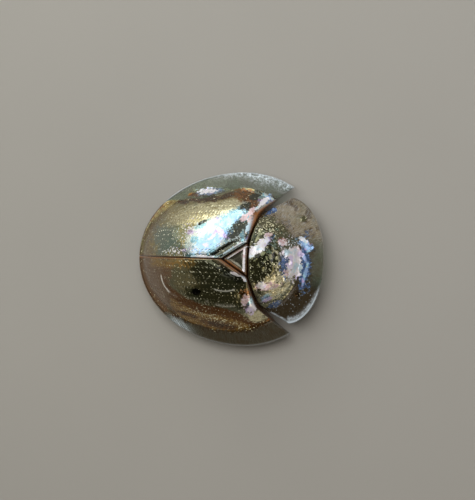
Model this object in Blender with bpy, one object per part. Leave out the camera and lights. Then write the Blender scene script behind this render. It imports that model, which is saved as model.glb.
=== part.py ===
"""Golden tortoise beetle, a still model at life size, resting on its six feet.

Frame in metres: +X towards the head, +Y to the animal's left, +Z up. The origin lies on the floor
under the middle of the bounding box. The shape functions work in millimetres, and each finished
mesh is scaled to metres.
"""

import math
from collections import namedtuple

import bmesh
import bpy
from mathutils import Matrix, Vector

MM = 0.001

# Driving sizes of the whole animal, in millimetres
LENGTH = 6.6
WIDTH = 6.0
HEIGHT = 2.65
GAP = 0.06
BASE_X = 0.975
WALL = 0.45

# Rim of the wing cases seen from above: half of one ellipse behind, half of another in front
RIM_X = 0.475
RIM_REAR = RIM_X + LENGTH / 2
RIM_FRONT = 3.1
RIM_SIDE = WIDTH / 2
RIM_TOP = 0.62
RIM_RISE = 0.33
RIM_WIDTH = 0.2
RIM_EDGE = 0.15
RIM_ROOT = 0.40
TAIL_TURN = math.radians(80)
KNOB_X = 1.08
KNOB_Y = 1.62
KNOB_RADIUS = 0.25
KNOB_HEIGHT = 0.07

# Base line of the wing cases: nearly straight beside the scutellum, then swept forward
BASE_SLOPE = 0.20
SHOULDER_Y = 1.50
SHOULDER_SWEEP = 0.79
SHOULDER_POWER = 1.5

# Scutellum, the small triangle between the wing cases
SCUTELLUM_LENGTH = 0.84
SCUTELLUM_SIDE = 0.57
SCUTELLUM_DROP = 0.06
SCUTELLUM_CROWN = 0.03
SCUTELLUM_TIP = 0.16

# Pronotum, the shield over the head
SHIELD_X = 2.075
SHIELD_FRONT = LENGTH / 2 - SHIELD_X
SHIELD_SIDE = 2.15
SHIELD_TOP = 0.78
SHIELD_RISE = 0.28
SHIELD_MARGIN = 0.27
SHIELD_EDGE = 0.18
SHIELD_ROOT = 0.36
CORNER_Y = 1.75
CORNER_X = BASE_X + 0.36
CORNER_SLOPE = 1.85
CORNER_BLEND = 0.10
CORNER_INSET = 0.02

# Domes: height = root + rise * (1 - reach ** power), reach being 1 on the dome's own edge
Dome = namedtuple("Dome", "centre front rear side root rise power")
WING_DOME = Dome(0.075, 2.60, 3.05, 2.40, 0.95, HEIGHT - 0.95, 2.6)
WING_HOLLOW = Dome(0.075, 2.40, 2.70, 2.05, 0.55, HEIGHT - WALL - 0.55, 2.6)
SHIELD_DOME = Dome(0.875, 1.66, 1.66, 1.76, 1.05, 1.35, 2.8)
SHIELD_HOLLOW = Dome(0.875, 1.42, 1.42, 1.42, 0.62, 1.36, 2.8)
BLEND = 0.12

# Body under the shell
BELLY_Z = 0.72
STERNITES = 5
STERNITE_STEP = 0.05
STERNITE_LIP = 0.03
WAIST_X = -0.47
ABDOMEN_REACH = 0.90
ABDOMEN_SIDE = 0.88
ABDOMEN_TURN = math.radians(78)
THORAX_SIDE = 1.80
THORAX_TAPER = 0.13
THORAX_GROOVE_X = 0.20
THORAX_GROOVE = 0.04
PROTHORAX_FRONT = 1.60
PROTHORAX_SIDE = 1.05
PROTHORAX_TAPER = 0.25
PROTHORAX_KEEL = 0.05
PROTHORAX_KEEL_WIDTH = 0.12
THORAX_GROOVE_WIDTH = 0.06
KEEL = 0.03
KEEL_WIDTH = 0.15

# Head and eyes; a joint is an offset from the head's centre and a radius
Joint = namedtuple("Joint", "offset radius")
HEAD_CENTRE = Vector((1.98, 0.0, 0.64))
HEAD_RADII = Vector((0.32, 0.62, 0.32))
CLYPEUS = (Joint((0.16, 0.0, -0.02), 0.20), Joint((0.20, 0.0, -0.20), 0.15))
PALP = (Joint((0.16, 0.12, -0.22), 0.11), Joint((0.24, 0.07, -0.34), 0.06))
EYE_CENTRE = Vector((1.99, 0.48, 0.70))
EYE_RADII = Vector((0.16, 0.22, 0.18))
EYE_CUT_Y = 0.50

# Legs of the left side: coxa, knee and ankle as x, y, and the tip of the foot
Leg = namedtuple("Leg", "coxa knee ankle tip")
LEGS = {
    "leg_front": Leg((1.38, 0.36), (1.22, 1.30), (1.92, 1.36), (2.48, 1.30)),
    "leg_middle": Leg((0.62, 0.50), (0.74, 1.58), (-0.26, 2.26), (-1.10, 2.36)),
    "leg_hind": Leg((-0.20, 0.60), (-0.38, 1.42), (-1.24, 1.90), (-1.66, 2.36)),
}
COXA_RADIUS = 0.22
COXA_GAP = 0.05
TROCHANTER_RADIUS = 0.16
FEMUR_ROOT = 0.15
FEMUR_RADIUS = 0.21
FEMUR_SHARE = 0.55
FEMUR_Z = 0.43
KNEE_RADIUS = 0.17
TIBIA_RADIUS = 0.15
TIBIA_SHARE = 0.7
KNEE_Z = 0.42
ANKLE_RADIUS = 0.13
ANKLE_Z = 0.24
PAD_COUNT = 3
PAD_PLACE = 0.35
PAD_LENGTH = 0.72
PAD_WIDTH = 0.20
PAD_HEIGHT = 0.23
PAD_SHRINK = 0.14
PAD_LEVELS = ((0.0, 0.86), (0.45, 1.0), (0.85, 0.72), (1.0, 0.35))
CLAW_ROOT = 0.12
CLAW_Z = 0.09
CLAW_DROP = 0.03
CLAW_SPREAD = 0.6
CLAW_LENGTH = 0.17
CLAW_RADIUS = 0.045

# Antennae, folded back under the shield between the head and the front legs
ANTENNA_CURVE = ((2.36, 0.20, 0.56), (2.62, 0.42, 0.47), (2.47, 1.27, 0.45), (1.84, 0.98, 0.45))
ANTENNA_SEGMENTS = 11
ANTENNA_SHAFT = 0.095
ANTENNA_CLUB = 0.125
ANTENNA_NECK = (0.04, 0.72)
ANTENNA_BELLY = (0.62, 1.0)
ANTENNA_TIP = 0.4
CLUB_START = 4

# Mesh density
WING_ROWS = 26
WING_COLUMNS = 15
SHIELD_ROWS = 13
SHIELD_COLUMNS = 26
BALL_SEGMENTS = 8
BALL_RINGS = 5

# Finish of each kind of piece: linear colour, roughness, metallic
FINISHES = {
    "wing_case": ((0.24, 0.20, 0.10, 1.0), 0.22, 0.75),
    "shield": ((0.30, 0.27, 0.18, 1.0), 0.22, 0.70),
    "scutellum": ((0.06, 0.06, 0.05, 1.0), 0.28, 0.60),
    "underside": ((0.05, 0.03, 0.02, 1.0), 0.40, 0.10),
    "leg": ((0.45, 0.28, 0.10, 1.0), 0.40, 0.00),
    "eye": ((0.01, 0.01, 0.01, 1.0), 0.15, 0.00),
}


def smooth_max(a, b, blend):
    """The greater of two heights, with the crease between them rounded."""
    return (a + b + math.sqrt((a - b) ** 2 + blend ** 2)) / 2


def smooth_step(value):
    """Ease from 0 to 1 while value goes from 0 to 1."""
    value = min(max(value, 0.0), 1.0)
    return value * value * (3 - 2 * value)


def dome_height(dome, x, y):
    """Height of a dome at x, y. It keeps falling outside the dome's own edge."""
    along = (x - dome.centre) / (dome.front if x > dome.centre else dome.rear)
    reach = math.hypot(along, y / dome.side)
    return dome.root + dome.rise * (1 - reach ** dome.power)


def rim_half_width(x):
    """Half the width of the wing cases at x."""
    along = (x - RIM_X) / (RIM_FRONT if x > RIM_X else RIM_REAR)
    return RIM_SIDE * math.sqrt(max(0.0, 1 - along * along))


def wing_margin(x, y):
    """How far a point lies into the margin of the wing cases: 0 on the rim, 1 from its root inwards."""
    along = (x - RIM_X) / (RIM_FRONT if x > RIM_X else RIM_REAR)
    return min(1.0, (1 - math.hypot(along, y / RIM_SIDE)) / RIM_WIDTH)


def shoulder_knob(x, y):
    """Low round swelling at each front corner of the dome."""
    away = math.hypot(x - KNOB_X, abs(y) - KNOB_Y)
    return KNOB_HEIGHT * math.exp(-(away / KNOB_RADIUS) ** 2)


def wing_top(x, y):
    """Upper face of the wing cases."""
    margin = RIM_TOP + RIM_RISE * wing_margin(x, y)
    return smooth_max(dome_height(WING_DOME, x, y), margin, BLEND) + shoulder_knob(x, y)


def wing_under(x, y):
    """Lower face of the wing cases."""
    inward = wing_margin(x, y)
    thickness = RIM_EDGE + (RIM_ROOT - RIM_EDGE) * inward
    margin = RIM_TOP + RIM_RISE * inward - thickness
    return smooth_max(dome_height(WING_HOLLOW, x, y), margin, BLEND / 2)


def shield_margin(x, y):
    """How far a point lies into the margin of the shield: 0 on the rim, 1 from its root inwards."""
    reach = math.hypot((x - BASE_X) / (LENGTH / 2 - BASE_X), y / SHIELD_SIDE)
    return min(1.0, max(0.0, (1 - reach) / SHIELD_MARGIN))


def shield_top(x, y):
    """Upper face of the pronotum."""
    margin = SHIELD_TOP + SHIELD_RISE * shield_margin(x, y)
    return smooth_max(dome_height(SHIELD_DOME, x, y), margin, BLEND)


def shield_under(x, y):
    """Lower face of the pronotum."""
    inward = shield_margin(x, y)
    thickness = SHIELD_EDGE + (SHIELD_ROOT - SHIELD_EDGE) * inward
    margin = SHIELD_TOP + SHIELD_RISE * inward - thickness
    return smooth_max(dome_height(SHIELD_HOLLOW, x, y), margin, BLEND / 2)


def base_line(y):
    """x of the line between wing cases and pronotum."""
    beside = max(0.0, abs(y) - SCUTELLUM_SIDE)
    swept = max(0.0, abs(y) - SHOULDER_Y)
    return BASE_X + BASE_SLOPE * beside + SHOULDER_SWEEP * swept ** SHOULDER_POWER


def base_line_offset(y, distance):
    """x of a line that runs beside the base line at a distance measured square to it."""
    step = 0.01
    slope = (base_line(abs(y) + step) - base_line(abs(y))) / step
    return base_line(y) + distance * math.hypot(1.0, slope)


def wing_front(y):
    """x of a wing case's front edge: the side of the scutellum's notch, then the base line."""
    if abs(y) >= SCUTELLUM_SIDE:
        return base_line(y)
    notch = SCUTELLUM_LENGTH * (1 - abs(y) / SCUTELLUM_SIDE)
    return BASE_X - notch


def solve_front(share):
    """x where the line that keeps a fixed share of the half width meets the front edge."""
    low = BASE_X - SCUTELLUM_LENGTH - GAP
    high = LENGTH / 2
    for _ in range(40):
        middle = (low + high) / 2
        if middle < wing_front(share * rim_half_width(middle)):
            low = middle
        else:
            high = middle
    return low


def wing_plan(side):
    """Rows of x, y points over one wing case, from its front edge to the apex."""
    last_x = RIM_X - RIM_REAR * math.sin(TAIL_TURN)
    last_width = rim_half_width(last_x)
    shares = [math.sin(math.pi / 2 * c / WING_COLUMNS) for c in range(WING_COLUMNS + 1)]
    fronts = [solve_front(share) for share in shares]
    plan = []
    for row in range(WING_ROWS + 1):
        t = row / WING_ROWS
        eased = (t + math.sin(math.pi / 2 * t)) / 2
        points = []
        for share, front in zip(shares, fronts):
            x = front + (last_x - front) * eased
            y = GAP / 2 + share * (rim_half_width(x) - GAP / 2)
            points.append((x, side * y))
        plan.append(points)
    tail = []
    for share in shares:
        y = GAP / 2 + share * (last_width - GAP / 2)
        x = RIM_X - RIM_REAR * math.sqrt(1 - (y / RIM_SIDE) ** 2)
        tail.append((x, side * y))
    plan.append(tail)
    return plan


def shield_plan():
    """Rows of x, y points over the pronotum, from its base to its front rim."""
    half = SHIELD_SIDE - CORNER_INSET
    plan = []
    for row in range(SHIELD_ROWS + 1):
        t = math.sin(math.pi / 2 * row / SHIELD_ROWS)
        points = []
        for column in range(SHIELD_COLUMNS + 1):
            y = half * math.sin(math.pi / 2 * (2 * column / SHIELD_COLUMNS - 1))
            back = base_line_offset(y, GAP)
            corner = CORNER_X + GAP + CORNER_SLOPE * (abs(y) - CORNER_Y)
            back = smooth_max(back, corner, CORNER_BLEND)
            front = SHIELD_X + SHIELD_FRONT * math.sqrt(1 - (y / SHIELD_SIDE) ** 2)
            points.append((back + (front - back) * t, y))
        plan.append(points)
    return plan


def scutellum_plan():
    """Rows of x, y points over the scutellum, from its tip to its base."""
    rows = 6
    columns = 4
    tip = BASE_X - SCUTELLUM_LENGTH + SCUTELLUM_TIP
    plan = []
    for row in range(rows + 1):
        x = tip + (BASE_X - tip) * row / rows
        side = SCUTELLUM_SIDE * (x - BASE_X + SCUTELLUM_LENGTH) / SCUTELLUM_LENGTH - GAP
        plan.append([(x, side * (2 * c / columns - 1)) for c in range(columns + 1)])
    return plan


def spread(start, end, steps):
    """Evenly spaced values from start to end."""
    return [start + (end - start) * step / steps for step in range(steps + 1)]


def body_plan(stations, half_width, columns):
    """Rows of x, y points across the body at each station along it."""
    plan = []
    for x in stations:
        side = half_width(x)
        plan.append([(x, side * (2 * c / columns - 1)) for c in range(columns + 1)])
    return plan


def new_object(name, mesh_builder, finish):
    """Make a named object in metres from a mesh in millimetres."""
    mesh = bpy.data.meshes.new(name)
    bmesh.ops.remove_doubles(mesh_builder, verts=mesh_builder.verts, dist=0.0005)
    bmesh.ops.triangulate(mesh_builder, faces=mesh_builder.faces)
    bmesh.ops.recalc_face_normals(mesh_builder, faces=mesh_builder.faces)
    mesh_builder.to_mesh(mesh)
    mesh_builder.free()
    mesh.transform(Matrix.Scale(MM, 4))
    mesh.shade_smooth()
    mesh.set_sharp_from_angle(angle=math.radians(40))
    mesh.materials.append(finish_material(name, finish))
    item = bpy.data.objects.new(name, mesh)
    bpy.context.collection.objects.link(item)
    return item


def finish_material(name, finish):
    """One Principled material for a piece."""
    colour, roughness, metallic = FINISHES[finish]
    material = bpy.data.materials.new(name)
    material.use_nodes = True
    shader = material.node_tree.nodes["Principled BSDF"]
    shader.inputs["Base Color"].default_value = colour
    shader.inputs["Roughness"].default_value = roughness
    shader.inputs["Metallic"].default_value = metallic
    material.diffuse_color = colour
    return material


def slab(plan, top, under):
    """Closed plate over a grid of plan points, between two heights, split alike on both faces."""
    bm = bmesh.new()
    upper = [[bm.verts.new((x, y, top(x, y))) for x, y in row] for row in plan]
    lower = [[bm.verts.new((x, y, under(x, y))) for x, y in row] for row in plan]
    rows = len(plan)
    columns = len(plan[0])
    for r in range(rows - 1):
        for c in range(columns - 1):
            for layer in (upper, lower):
                a = layer[r][c]
                b = layer[r + 1][c]
                d = layer[r][c + 1]
                e = layer[r + 1][c + 1]
                bm.faces.new((a, b, e))
                bm.faces.new((a, e, d))
    border = [(0, c) for c in range(columns)]
    border += [(r, columns - 1) for r in range(1, rows)]
    border += [(rows - 1, c) for c in range(columns - 2, -1, -1)]
    border += [(r, 0) for r in range(rows - 2, 0, -1)]
    for (r0, c0), (r1, c1) in zip(border, border[1:] + border[:1]):
        bm.faces.new((upper[r0][c0], upper[r1][c1], lower[r1][c1]))
        bm.faces.new((upper[r0][c0], lower[r1][c1], lower[r0][c0]))
    return bm


def hull(points):
    """Convex closed mesh round a list of points."""
    bm = bmesh.new()
    for point in points:
        bm.verts.new(point)
    result = bmesh.ops.convex_hull(bm, input=bm.verts)
    inside = {item for item in result["geom_interior"] + result["geom_unused"]
              if isinstance(item, bmesh.types.BMVert)}
    bmesh.ops.delete(bm, geom=list(inside), context="VERTS")
    return bm


def ball(centre, radii):
    """Points on an ellipsoid."""
    points = []
    for ring in range(BALL_RINGS + 1):
        lift = math.pi * (ring / BALL_RINGS - 0.5)
        count = 1 if ring in (0, BALL_RINGS) else BALL_SEGMENTS
        for step in range(count):
            turn = 2 * math.pi * (step + ring / 2) / BALL_SEGMENTS
            offset = Vector((math.cos(lift) * math.cos(turn),
                             math.cos(lift) * math.sin(turn),
                             math.sin(lift)))
            points.append(Vector(centre) + offset * Vector(radii))
    return points


def limb(start, start_radius, end, end_radius):
    """Tapered round-ended rod between two points."""
    first = ball(start, (start_radius,) * 3)
    second = ball(end, (end_radius,) * 3)
    return hull(first + second)


def foot_pad(centre, heading, length, width, height):
    """Low rounded lobe with a flat sole on the floor."""
    points = []
    for level, size in PAD_LEVELS:
        for step in range(BALL_SEGMENTS):
            turn = 2 * math.pi * step / BALL_SEGMENTS
            along = math.cos(turn) * length * size
            across = math.sin(turn) * width * size
            x = centre[0] + along * heading[0] - across * heading[1]
            y = centre[1] + along * heading[1] + across * heading[0]
            points.append(Vector((x, y, height * level)))
    return hull(points)


def join_pieces(name, pieces):
    """Fuse closed meshes into one body with a single Boolean union on a collection."""
    group = bpy.data.collections.new(name + "_pieces")
    first = None
    made = []
    for number, bm in enumerate(pieces):
        bmesh.ops.recalc_face_normals(bm, faces=bm.faces)
        mesh = bpy.data.meshes.new(f"{name}_piece_{number}")
        bm.to_mesh(mesh)
        bm.free()
        item = bpy.data.objects.new(mesh.name, mesh)
        made.append(item)
        if first is None:
            first = item
            bpy.context.collection.objects.link(item)
        else:
            group.objects.link(item)
    union = first.modifiers.new("union", "BOOLEAN")
    union.operation = "UNION"
    union.operand_type = "COLLECTION"
    union.collection = group
    union.solver = "EXACT"
    graph = bpy.context.evaluated_depsgraph_get()
    fused = bpy.data.meshes.new_from_object(first.evaluated_get(graph))
    for item in made:
        bpy.data.objects.remove(item)
    bpy.data.collections.remove(group)
    bm = bmesh.new()
    bm.from_mesh(fused)
    bpy.data.meshes.remove(fused)
    keep_largest(bm)
    return bm


def keep_largest(bm):
    """Keep only the closed surface with the most faces."""
    left = set(bm.faces)
    largest = set()
    while left:
        patch = set()
        queue = [left.pop()]
        while queue:
            face = queue.pop()
            patch.add(face)
            for edge in face.edges:
                for other in edge.link_faces:
                    if other in left:
                        left.remove(other)
                        queue.append(other)
        if len(patch) > len(largest):
            largest = patch
    spare = [face for face in bm.faces if face not in largest]
    bmesh.ops.delete(bm, geom=spare, context="FACES")


def cut_away(bm, point, normal):
    """Remove what lies on the normal's side of a plane and close the cut."""
    everything = list(bm.verts) + list(bm.edges) + list(bm.faces)
    result = bmesh.ops.bisect_plane(bm, geom=everything, plane_co=point, plane_no=normal, clear_outer=True)
    cut_edges = [item for item in result["geom_cut"] if isinstance(item, bmesh.types.BMEdge)]
    bmesh.ops.contextual_create(bm, geom=cut_edges)


def tube(points, radii, sides):
    """Round tube with flat ends along a list of points."""
    bm = bmesh.new()
    rings = []
    for number, (point, radius) in enumerate(zip(points, radii)):
        before = points[max(0, number - 1)]
        after = points[min(len(points) - 1, number + 1)]
        along = (after - before).normalized()
        across = along.cross(Vector((0, 0, 1))).normalized()
        above = across.cross(along)
        ring = []
        for step in range(sides):
            turn = 2 * math.pi * step / sides
            offset = across * math.cos(turn) + above * math.sin(turn)
            ring.append(bm.verts.new(point + offset * radius))
        rings.append(ring)
    for ring, following in zip(rings, rings[1:]):
        for step in range(sides):
            beside = (step + 1) % sides
            bm.faces.new((ring[step], ring[beside], following[beside], following[step]))
    bm.faces.new(rings[0])
    bm.faces.new(rings[-1])
    return bm


def mirrored(point, side):
    """The same point on the left side (1) or the right side (-1)."""
    return Vector((point[0], side * point[1], point[2]))


def make_wing_case(name, side):
    """One wing case: a quarter dome with its flat margin."""
    new_object(name, slab(wing_plan(side), wing_top, wing_under), "wing_case")


def make_pronotum():
    """The shield over the head and prothorax."""
    new_object("pronotum", slab(shield_plan(), shield_top, shield_under), "shield")


def make_scutellum():
    """The triangle between the wing cases, a little below them."""
    def top(x, y):
        fall = SCUTELLUM_CROWN * (y / SCUTELLUM_SIDE) ** 2
        return wing_top(x, y) - SCUTELLUM_DROP - fall

    new_object("scutellum", slab(scutellum_plan(), top, wing_under), "scutellum")


def make_prothorax():
    """The part of the body that fills the shield behind the head."""
    def half_width(x):
        share = (x - BASE_X) / (PROTHORAX_FRONT - BASE_X)
        return PROTHORAX_SIDE * (1 - PROTHORAX_TAPER * share * share)

    def top(x, y):
        return shield_under(x, y) - GAP

    def belly(x, y):
        return BELLY_Z - PROTHORAX_KEEL * math.exp(-(y / PROTHORAX_KEEL_WIDTH) ** 2)

    plan = body_plan(spread(BASE_X + GAP, PROTHORAX_FRONT, 6), half_width, 12)
    new_object("prothorax_underside", slab(plan, top, belly), "underside")


def make_thorax():
    """Middle and hind thorax, with a groove between their plates."""
    start = WAIST_X + GAP
    end = BASE_X - GAP / 2

    def half_width(x):
        share = (x - start) / (end - start)
        return THORAX_SIDE * (1 - THORAX_TAPER * share * share)

    def top(x, y):
        return wing_under(x, y) - GAP

    def belly(x, y):
        groove = THORAX_GROOVE * math.exp(-((x - THORAX_GROOVE_X) / THORAX_GROOVE_WIDTH) ** 2)
        keel = KEEL * math.exp(-(y / KEEL_WIDTH) ** 2)
        return BELLY_Z + groove - keel

    plan = body_plan(spread(start, end, 12), half_width, 14)
    new_object("thorax", slab(plan, top, belly), "underside")


def make_abdomen():
    """Abdomen with five belly plates, each overlapping the next one."""
    columns = 14
    rear = WING_HOLLOW.rear * ABDOMEN_REACH
    side = WING_HOLLOW.side * ABDOMEN_SIDE
    end = WING_HOLLOW.centre - rear * math.sin(ABDOMEN_TURN)
    plate = (end - WAIST_X) / STERNITES

    def half_width(x):
        along = (WING_HOLLOW.centre - x) / rear
        return side * math.sqrt(1 - along * along)

    def top(x, y):
        return wing_under(x, y) - GAP

    def belly(x, y):
        place = (x - WAIST_X) / plate
        share = min(max(place - math.floor(place), 0.0), 1.0)
        return BELLY_Z + STERNITE_STEP * (0.8 - share)

    stations = []
    for number in range(STERNITES):
        front = WAIST_X + plate * number
        stations += [front - STERNITE_LIP / 2, front + plate / 2, front + plate + STERNITE_LIP / 2]
    plan = body_plan(stations, half_width, columns)
    tail = []
    for y in spread(-half_width(stations[-1]), half_width(stations[-1]), columns):
        tail.append((WING_HOLLOW.centre - rear * math.sqrt(1 - (y / side) ** 2), y))
    plan.append(tail)
    new_object("abdomen", slab(plan, top, belly), "underside")


def head_limb(joints, side):
    """Rod between two joints that are given from the head's centre."""
    start, end = joints
    return limb(HEAD_CENTRE + mirrored(start.offset, side), start.radius,
                HEAD_CENTRE + mirrored(end.offset, side), end.radius)


def make_head():
    """Head, tucked under the shield, with flats where the eyes sit, clypeus and mouthparts."""
    skull = hull(ball(HEAD_CENTRE, HEAD_RADII))
    pieces = [skull, head_limb(CLYPEUS, 1)]
    for side in (1, -1):
        pieces.append(head_limb(PALP, side))
    bm = join_pieces("head", pieces)
    for side in (1, -1):
        cut_away(bm, (0, side * (EYE_CUT_Y - GAP), 0), (0, side, 0))
    for vertex in bm.verts:
        vertex.co.z = min(vertex.co.z, shield_under(vertex.co.x, vertex.co.y) - GAP)
    new_object("head", bm, "underside")


def make_eye(name, side):
    """One eye, flat where it meets the head."""
    bm = hull(ball(mirrored(EYE_CENTRE, side), EYE_RADII))
    cut_away(bm, (0, side * EYE_CUT_Y, 0), (0, -side, 0))
    new_object(name, bm, "eye")


def antenna_point(t):
    """Point of the left antenna's curve at t, from 0 at its root to 1 at its tip."""
    a, b, c, d = (Vector(point) for point in ANTENNA_CURVE)
    s = 1 - t
    return a * s ** 3 + b * 3 * s * s * t + c * 3 * s * t * t + d * t ** 3


def make_antenna(name, side):
    """One antenna of eleven segments that widens to a club."""
    points = []
    radii = []
    for number in range(ANTENNA_SEGMENTS):
        growth = smooth_step((number - CLUB_START) / CLUB_START)
        grown = ANTENNA_SHAFT + (ANTENNA_CLUB - ANTENNA_SHAFT) * growth
        for place, share in (ANTENNA_NECK, ANTENNA_BELLY):
            t = (number + place) / ANTENNA_SEGMENTS
            points.append(mirrored(antenna_point(t), side))
            radii.append(grown * share)
    points.append(mirrored(antenna_point(1.0), side))
    radii.append(ANTENNA_CLUB * ANTENNA_TIP)
    new_object(name, tube(points, radii, 8), "leg")


def upper_leg(coxa, knee, ankle):
    """Coxa, trochanter, femur and tibia as rods."""
    root = coxa.lerp(knee, FEMUR_ROOT)
    middle = coxa.lerp(knee, FEMUR_SHARE)
    middle.z = FEMUR_Z
    calf = knee.lerp(ankle, TIBIA_SHARE)
    return [
        limb(coxa, COXA_RADIUS, root, TROCHANTER_RADIUS),
        limb(root, TROCHANTER_RADIUS, middle, FEMUR_RADIUS),
        limb(middle, FEMUR_RADIUS, knee, KNEE_RADIUS),
        limb(knee, TIBIA_RADIUS, calf, TIBIA_RADIUS),
        limb(calf, TIBIA_RADIUS, ankle, ANKLE_RADIUS),
    ]


def foot(start, tip):
    """Foot pads that get smaller towards the tip, and two spread claws."""
    heading = (tip - start).normalized()
    stride = (tip - start).length / PAD_COUNT
    pieces = []
    for number in range(PAD_COUNT):
        centre = start + heading * stride * (number + PAD_PLACE)
        shrink = 1 - PAD_SHRINK * number
        pieces.append(foot_pad(centre, heading, stride * PAD_LENGTH, PAD_WIDTH * shrink, PAD_HEIGHT * shrink))
    across = Vector((-heading.y, heading.x, 0.0))
    root = tip - heading * CLAW_ROOT + Vector((0, 0, CLAW_Z))
    for turned in (1, -1):
        reach = heading + across * turned * CLAW_SPREAD
        end = root + reach * CLAW_LENGTH - Vector((0, 0, CLAW_DROP))
        pieces.append(limb(root, CLAW_RADIUS, end, CLAW_RADIUS / 2))
    return pieces


def make_leg(name, leg, side):
    """One leg in one body, with a flat sole on the floor."""
    coxa_z = BELLY_Z - GAP - COXA_GAP - COXA_RADIUS
    coxa = mirrored((*leg.coxa, coxa_z), side)
    knee = mirrored((*leg.knee, KNEE_Z), side)
    ankle = mirrored((*leg.ankle, ANKLE_Z), side)
    sole = mirrored((*leg.ankle, 0.0), side)
    tip = mirrored((*leg.tip, 0.0), side)
    pieces = upper_leg(coxa, knee, ankle) + foot(sole, tip)
    new_object(name, join_pieces(name, pieces), "leg")


def main():
    """Build every piece of the beetle."""
    for item in list(bpy.data.objects):
        bpy.data.objects.remove(item)
    make_pronotum()
    make_scutellum()
    make_prothorax()
    make_thorax()
    make_abdomen()
    make_head()
    for word, side in (("left", 1), ("right", -1)):
        make_wing_case(f"elytron_{word}", side)
        make_eye(f"eye_{word}", side)
        make_antenna(f"antenna_{word}", side)
        for name, leg in LEGS.items():
            make_leg(f"{name}_{word}", leg, side)


main()
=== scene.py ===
"""Golden tortoise beetle: the finished surfaces of the still model, on a plain pale stage.

The shape functions work in millimetres in the model's own frame: +X towards the head, +Y to the
animal's left, +Z up, floor at z = 0. Each finished mesh is scaled to metres.
"""

import math
from collections import namedtuple
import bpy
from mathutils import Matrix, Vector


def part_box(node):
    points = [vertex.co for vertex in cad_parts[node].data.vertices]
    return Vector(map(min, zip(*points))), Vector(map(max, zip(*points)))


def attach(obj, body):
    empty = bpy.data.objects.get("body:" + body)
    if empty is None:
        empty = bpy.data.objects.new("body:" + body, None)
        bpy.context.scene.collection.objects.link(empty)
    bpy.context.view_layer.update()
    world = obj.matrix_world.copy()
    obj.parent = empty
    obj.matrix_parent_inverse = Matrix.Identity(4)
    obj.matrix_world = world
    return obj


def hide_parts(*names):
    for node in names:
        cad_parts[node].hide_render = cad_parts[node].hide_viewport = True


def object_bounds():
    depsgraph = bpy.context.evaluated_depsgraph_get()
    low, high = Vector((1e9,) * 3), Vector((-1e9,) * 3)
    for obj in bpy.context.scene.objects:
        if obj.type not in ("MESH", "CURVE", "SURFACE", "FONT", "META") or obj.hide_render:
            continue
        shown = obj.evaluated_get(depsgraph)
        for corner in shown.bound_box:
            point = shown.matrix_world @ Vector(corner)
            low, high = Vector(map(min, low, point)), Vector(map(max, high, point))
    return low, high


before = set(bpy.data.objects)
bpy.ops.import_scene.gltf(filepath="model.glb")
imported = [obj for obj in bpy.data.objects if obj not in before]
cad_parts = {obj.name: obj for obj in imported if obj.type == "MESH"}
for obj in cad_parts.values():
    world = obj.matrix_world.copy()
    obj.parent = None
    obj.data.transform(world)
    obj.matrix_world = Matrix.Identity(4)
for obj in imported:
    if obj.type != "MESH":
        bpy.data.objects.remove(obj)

from types import SimpleNamespace

import bmesh
import bpy
import numpy as np
from mathutils import Matrix, Vector

bl_info = {
    "name": "Golden Tortoise Beetle",
    "version": (1, 0, 0),
    "blender": (4, 5, 0),
    "location": "View3D > Sidebar > Beetle",
    "description": "Builds a golden tortoise beetle at life size, piece by piece",
    "category": "Add Mesh",
}

MM = 0.001
SIDES = (("left", 1), ("right", -1))
CAD_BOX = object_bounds()


def cad_size(axis):
    """Size of the solids along one axis, in millimetres."""
    return (CAD_BOX[1][axis] - CAD_BOX[0][axis]) / MM


# Plan of the shell, in millimetres
LENGTH = cad_size(0)
BASE_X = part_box("scutellum")[1].x / MM
GAP = 0.05
SUTURE = 0.02
RIM_X = 0.475
RIM_REAR = RIM_X + LENGTH / 2
RIM_FRONT = 3.1
RIM_SIDE = 3.0
RIM_TOP = 0.62
RIM_RISE = 0.33
RIM_WIDTH = 0.2
RIM_EDGE = 0.15
RIM_ROOT = 0.40
BASE_SLOPE = 0.20
SHOULDER_Y = 1.50
SHOULDER_SWEEP = 0.79
SHOULDER_POWER = 1.5
SCUTELLUM_LENGTH = 0.84
SCUTELLUM_SIDE = 0.57
SHIELD_X = 2.075
SHIELD_FRONT = LENGTH / 2 - SHIELD_X
SHIELD_SIDE = 2.15
SHIELD_TOP = 0.78
SHIELD_RISE = 0.28
SHIELD_MARGIN = 0.27
SHIELD_EDGE = 0.18
SHIELD_ROOT = 0.36
CORNER_Y = 1.75
CORNER_X = BASE_X + 0.36
CORNER_SLOPE = 1.85
CORNER_BLEND = 0.10

# Where the metal of the wing cases ends, as reach on the dome: at the sides and behind
DISC_EDGE = 1.02
DISC_EDGE_REAR = 1.14
DISC_WAIST = 0.15
SPOT_LEFT = (-0.70, 1.15)
SPOT_RIGHT = (-0.77, -1.14)

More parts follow.
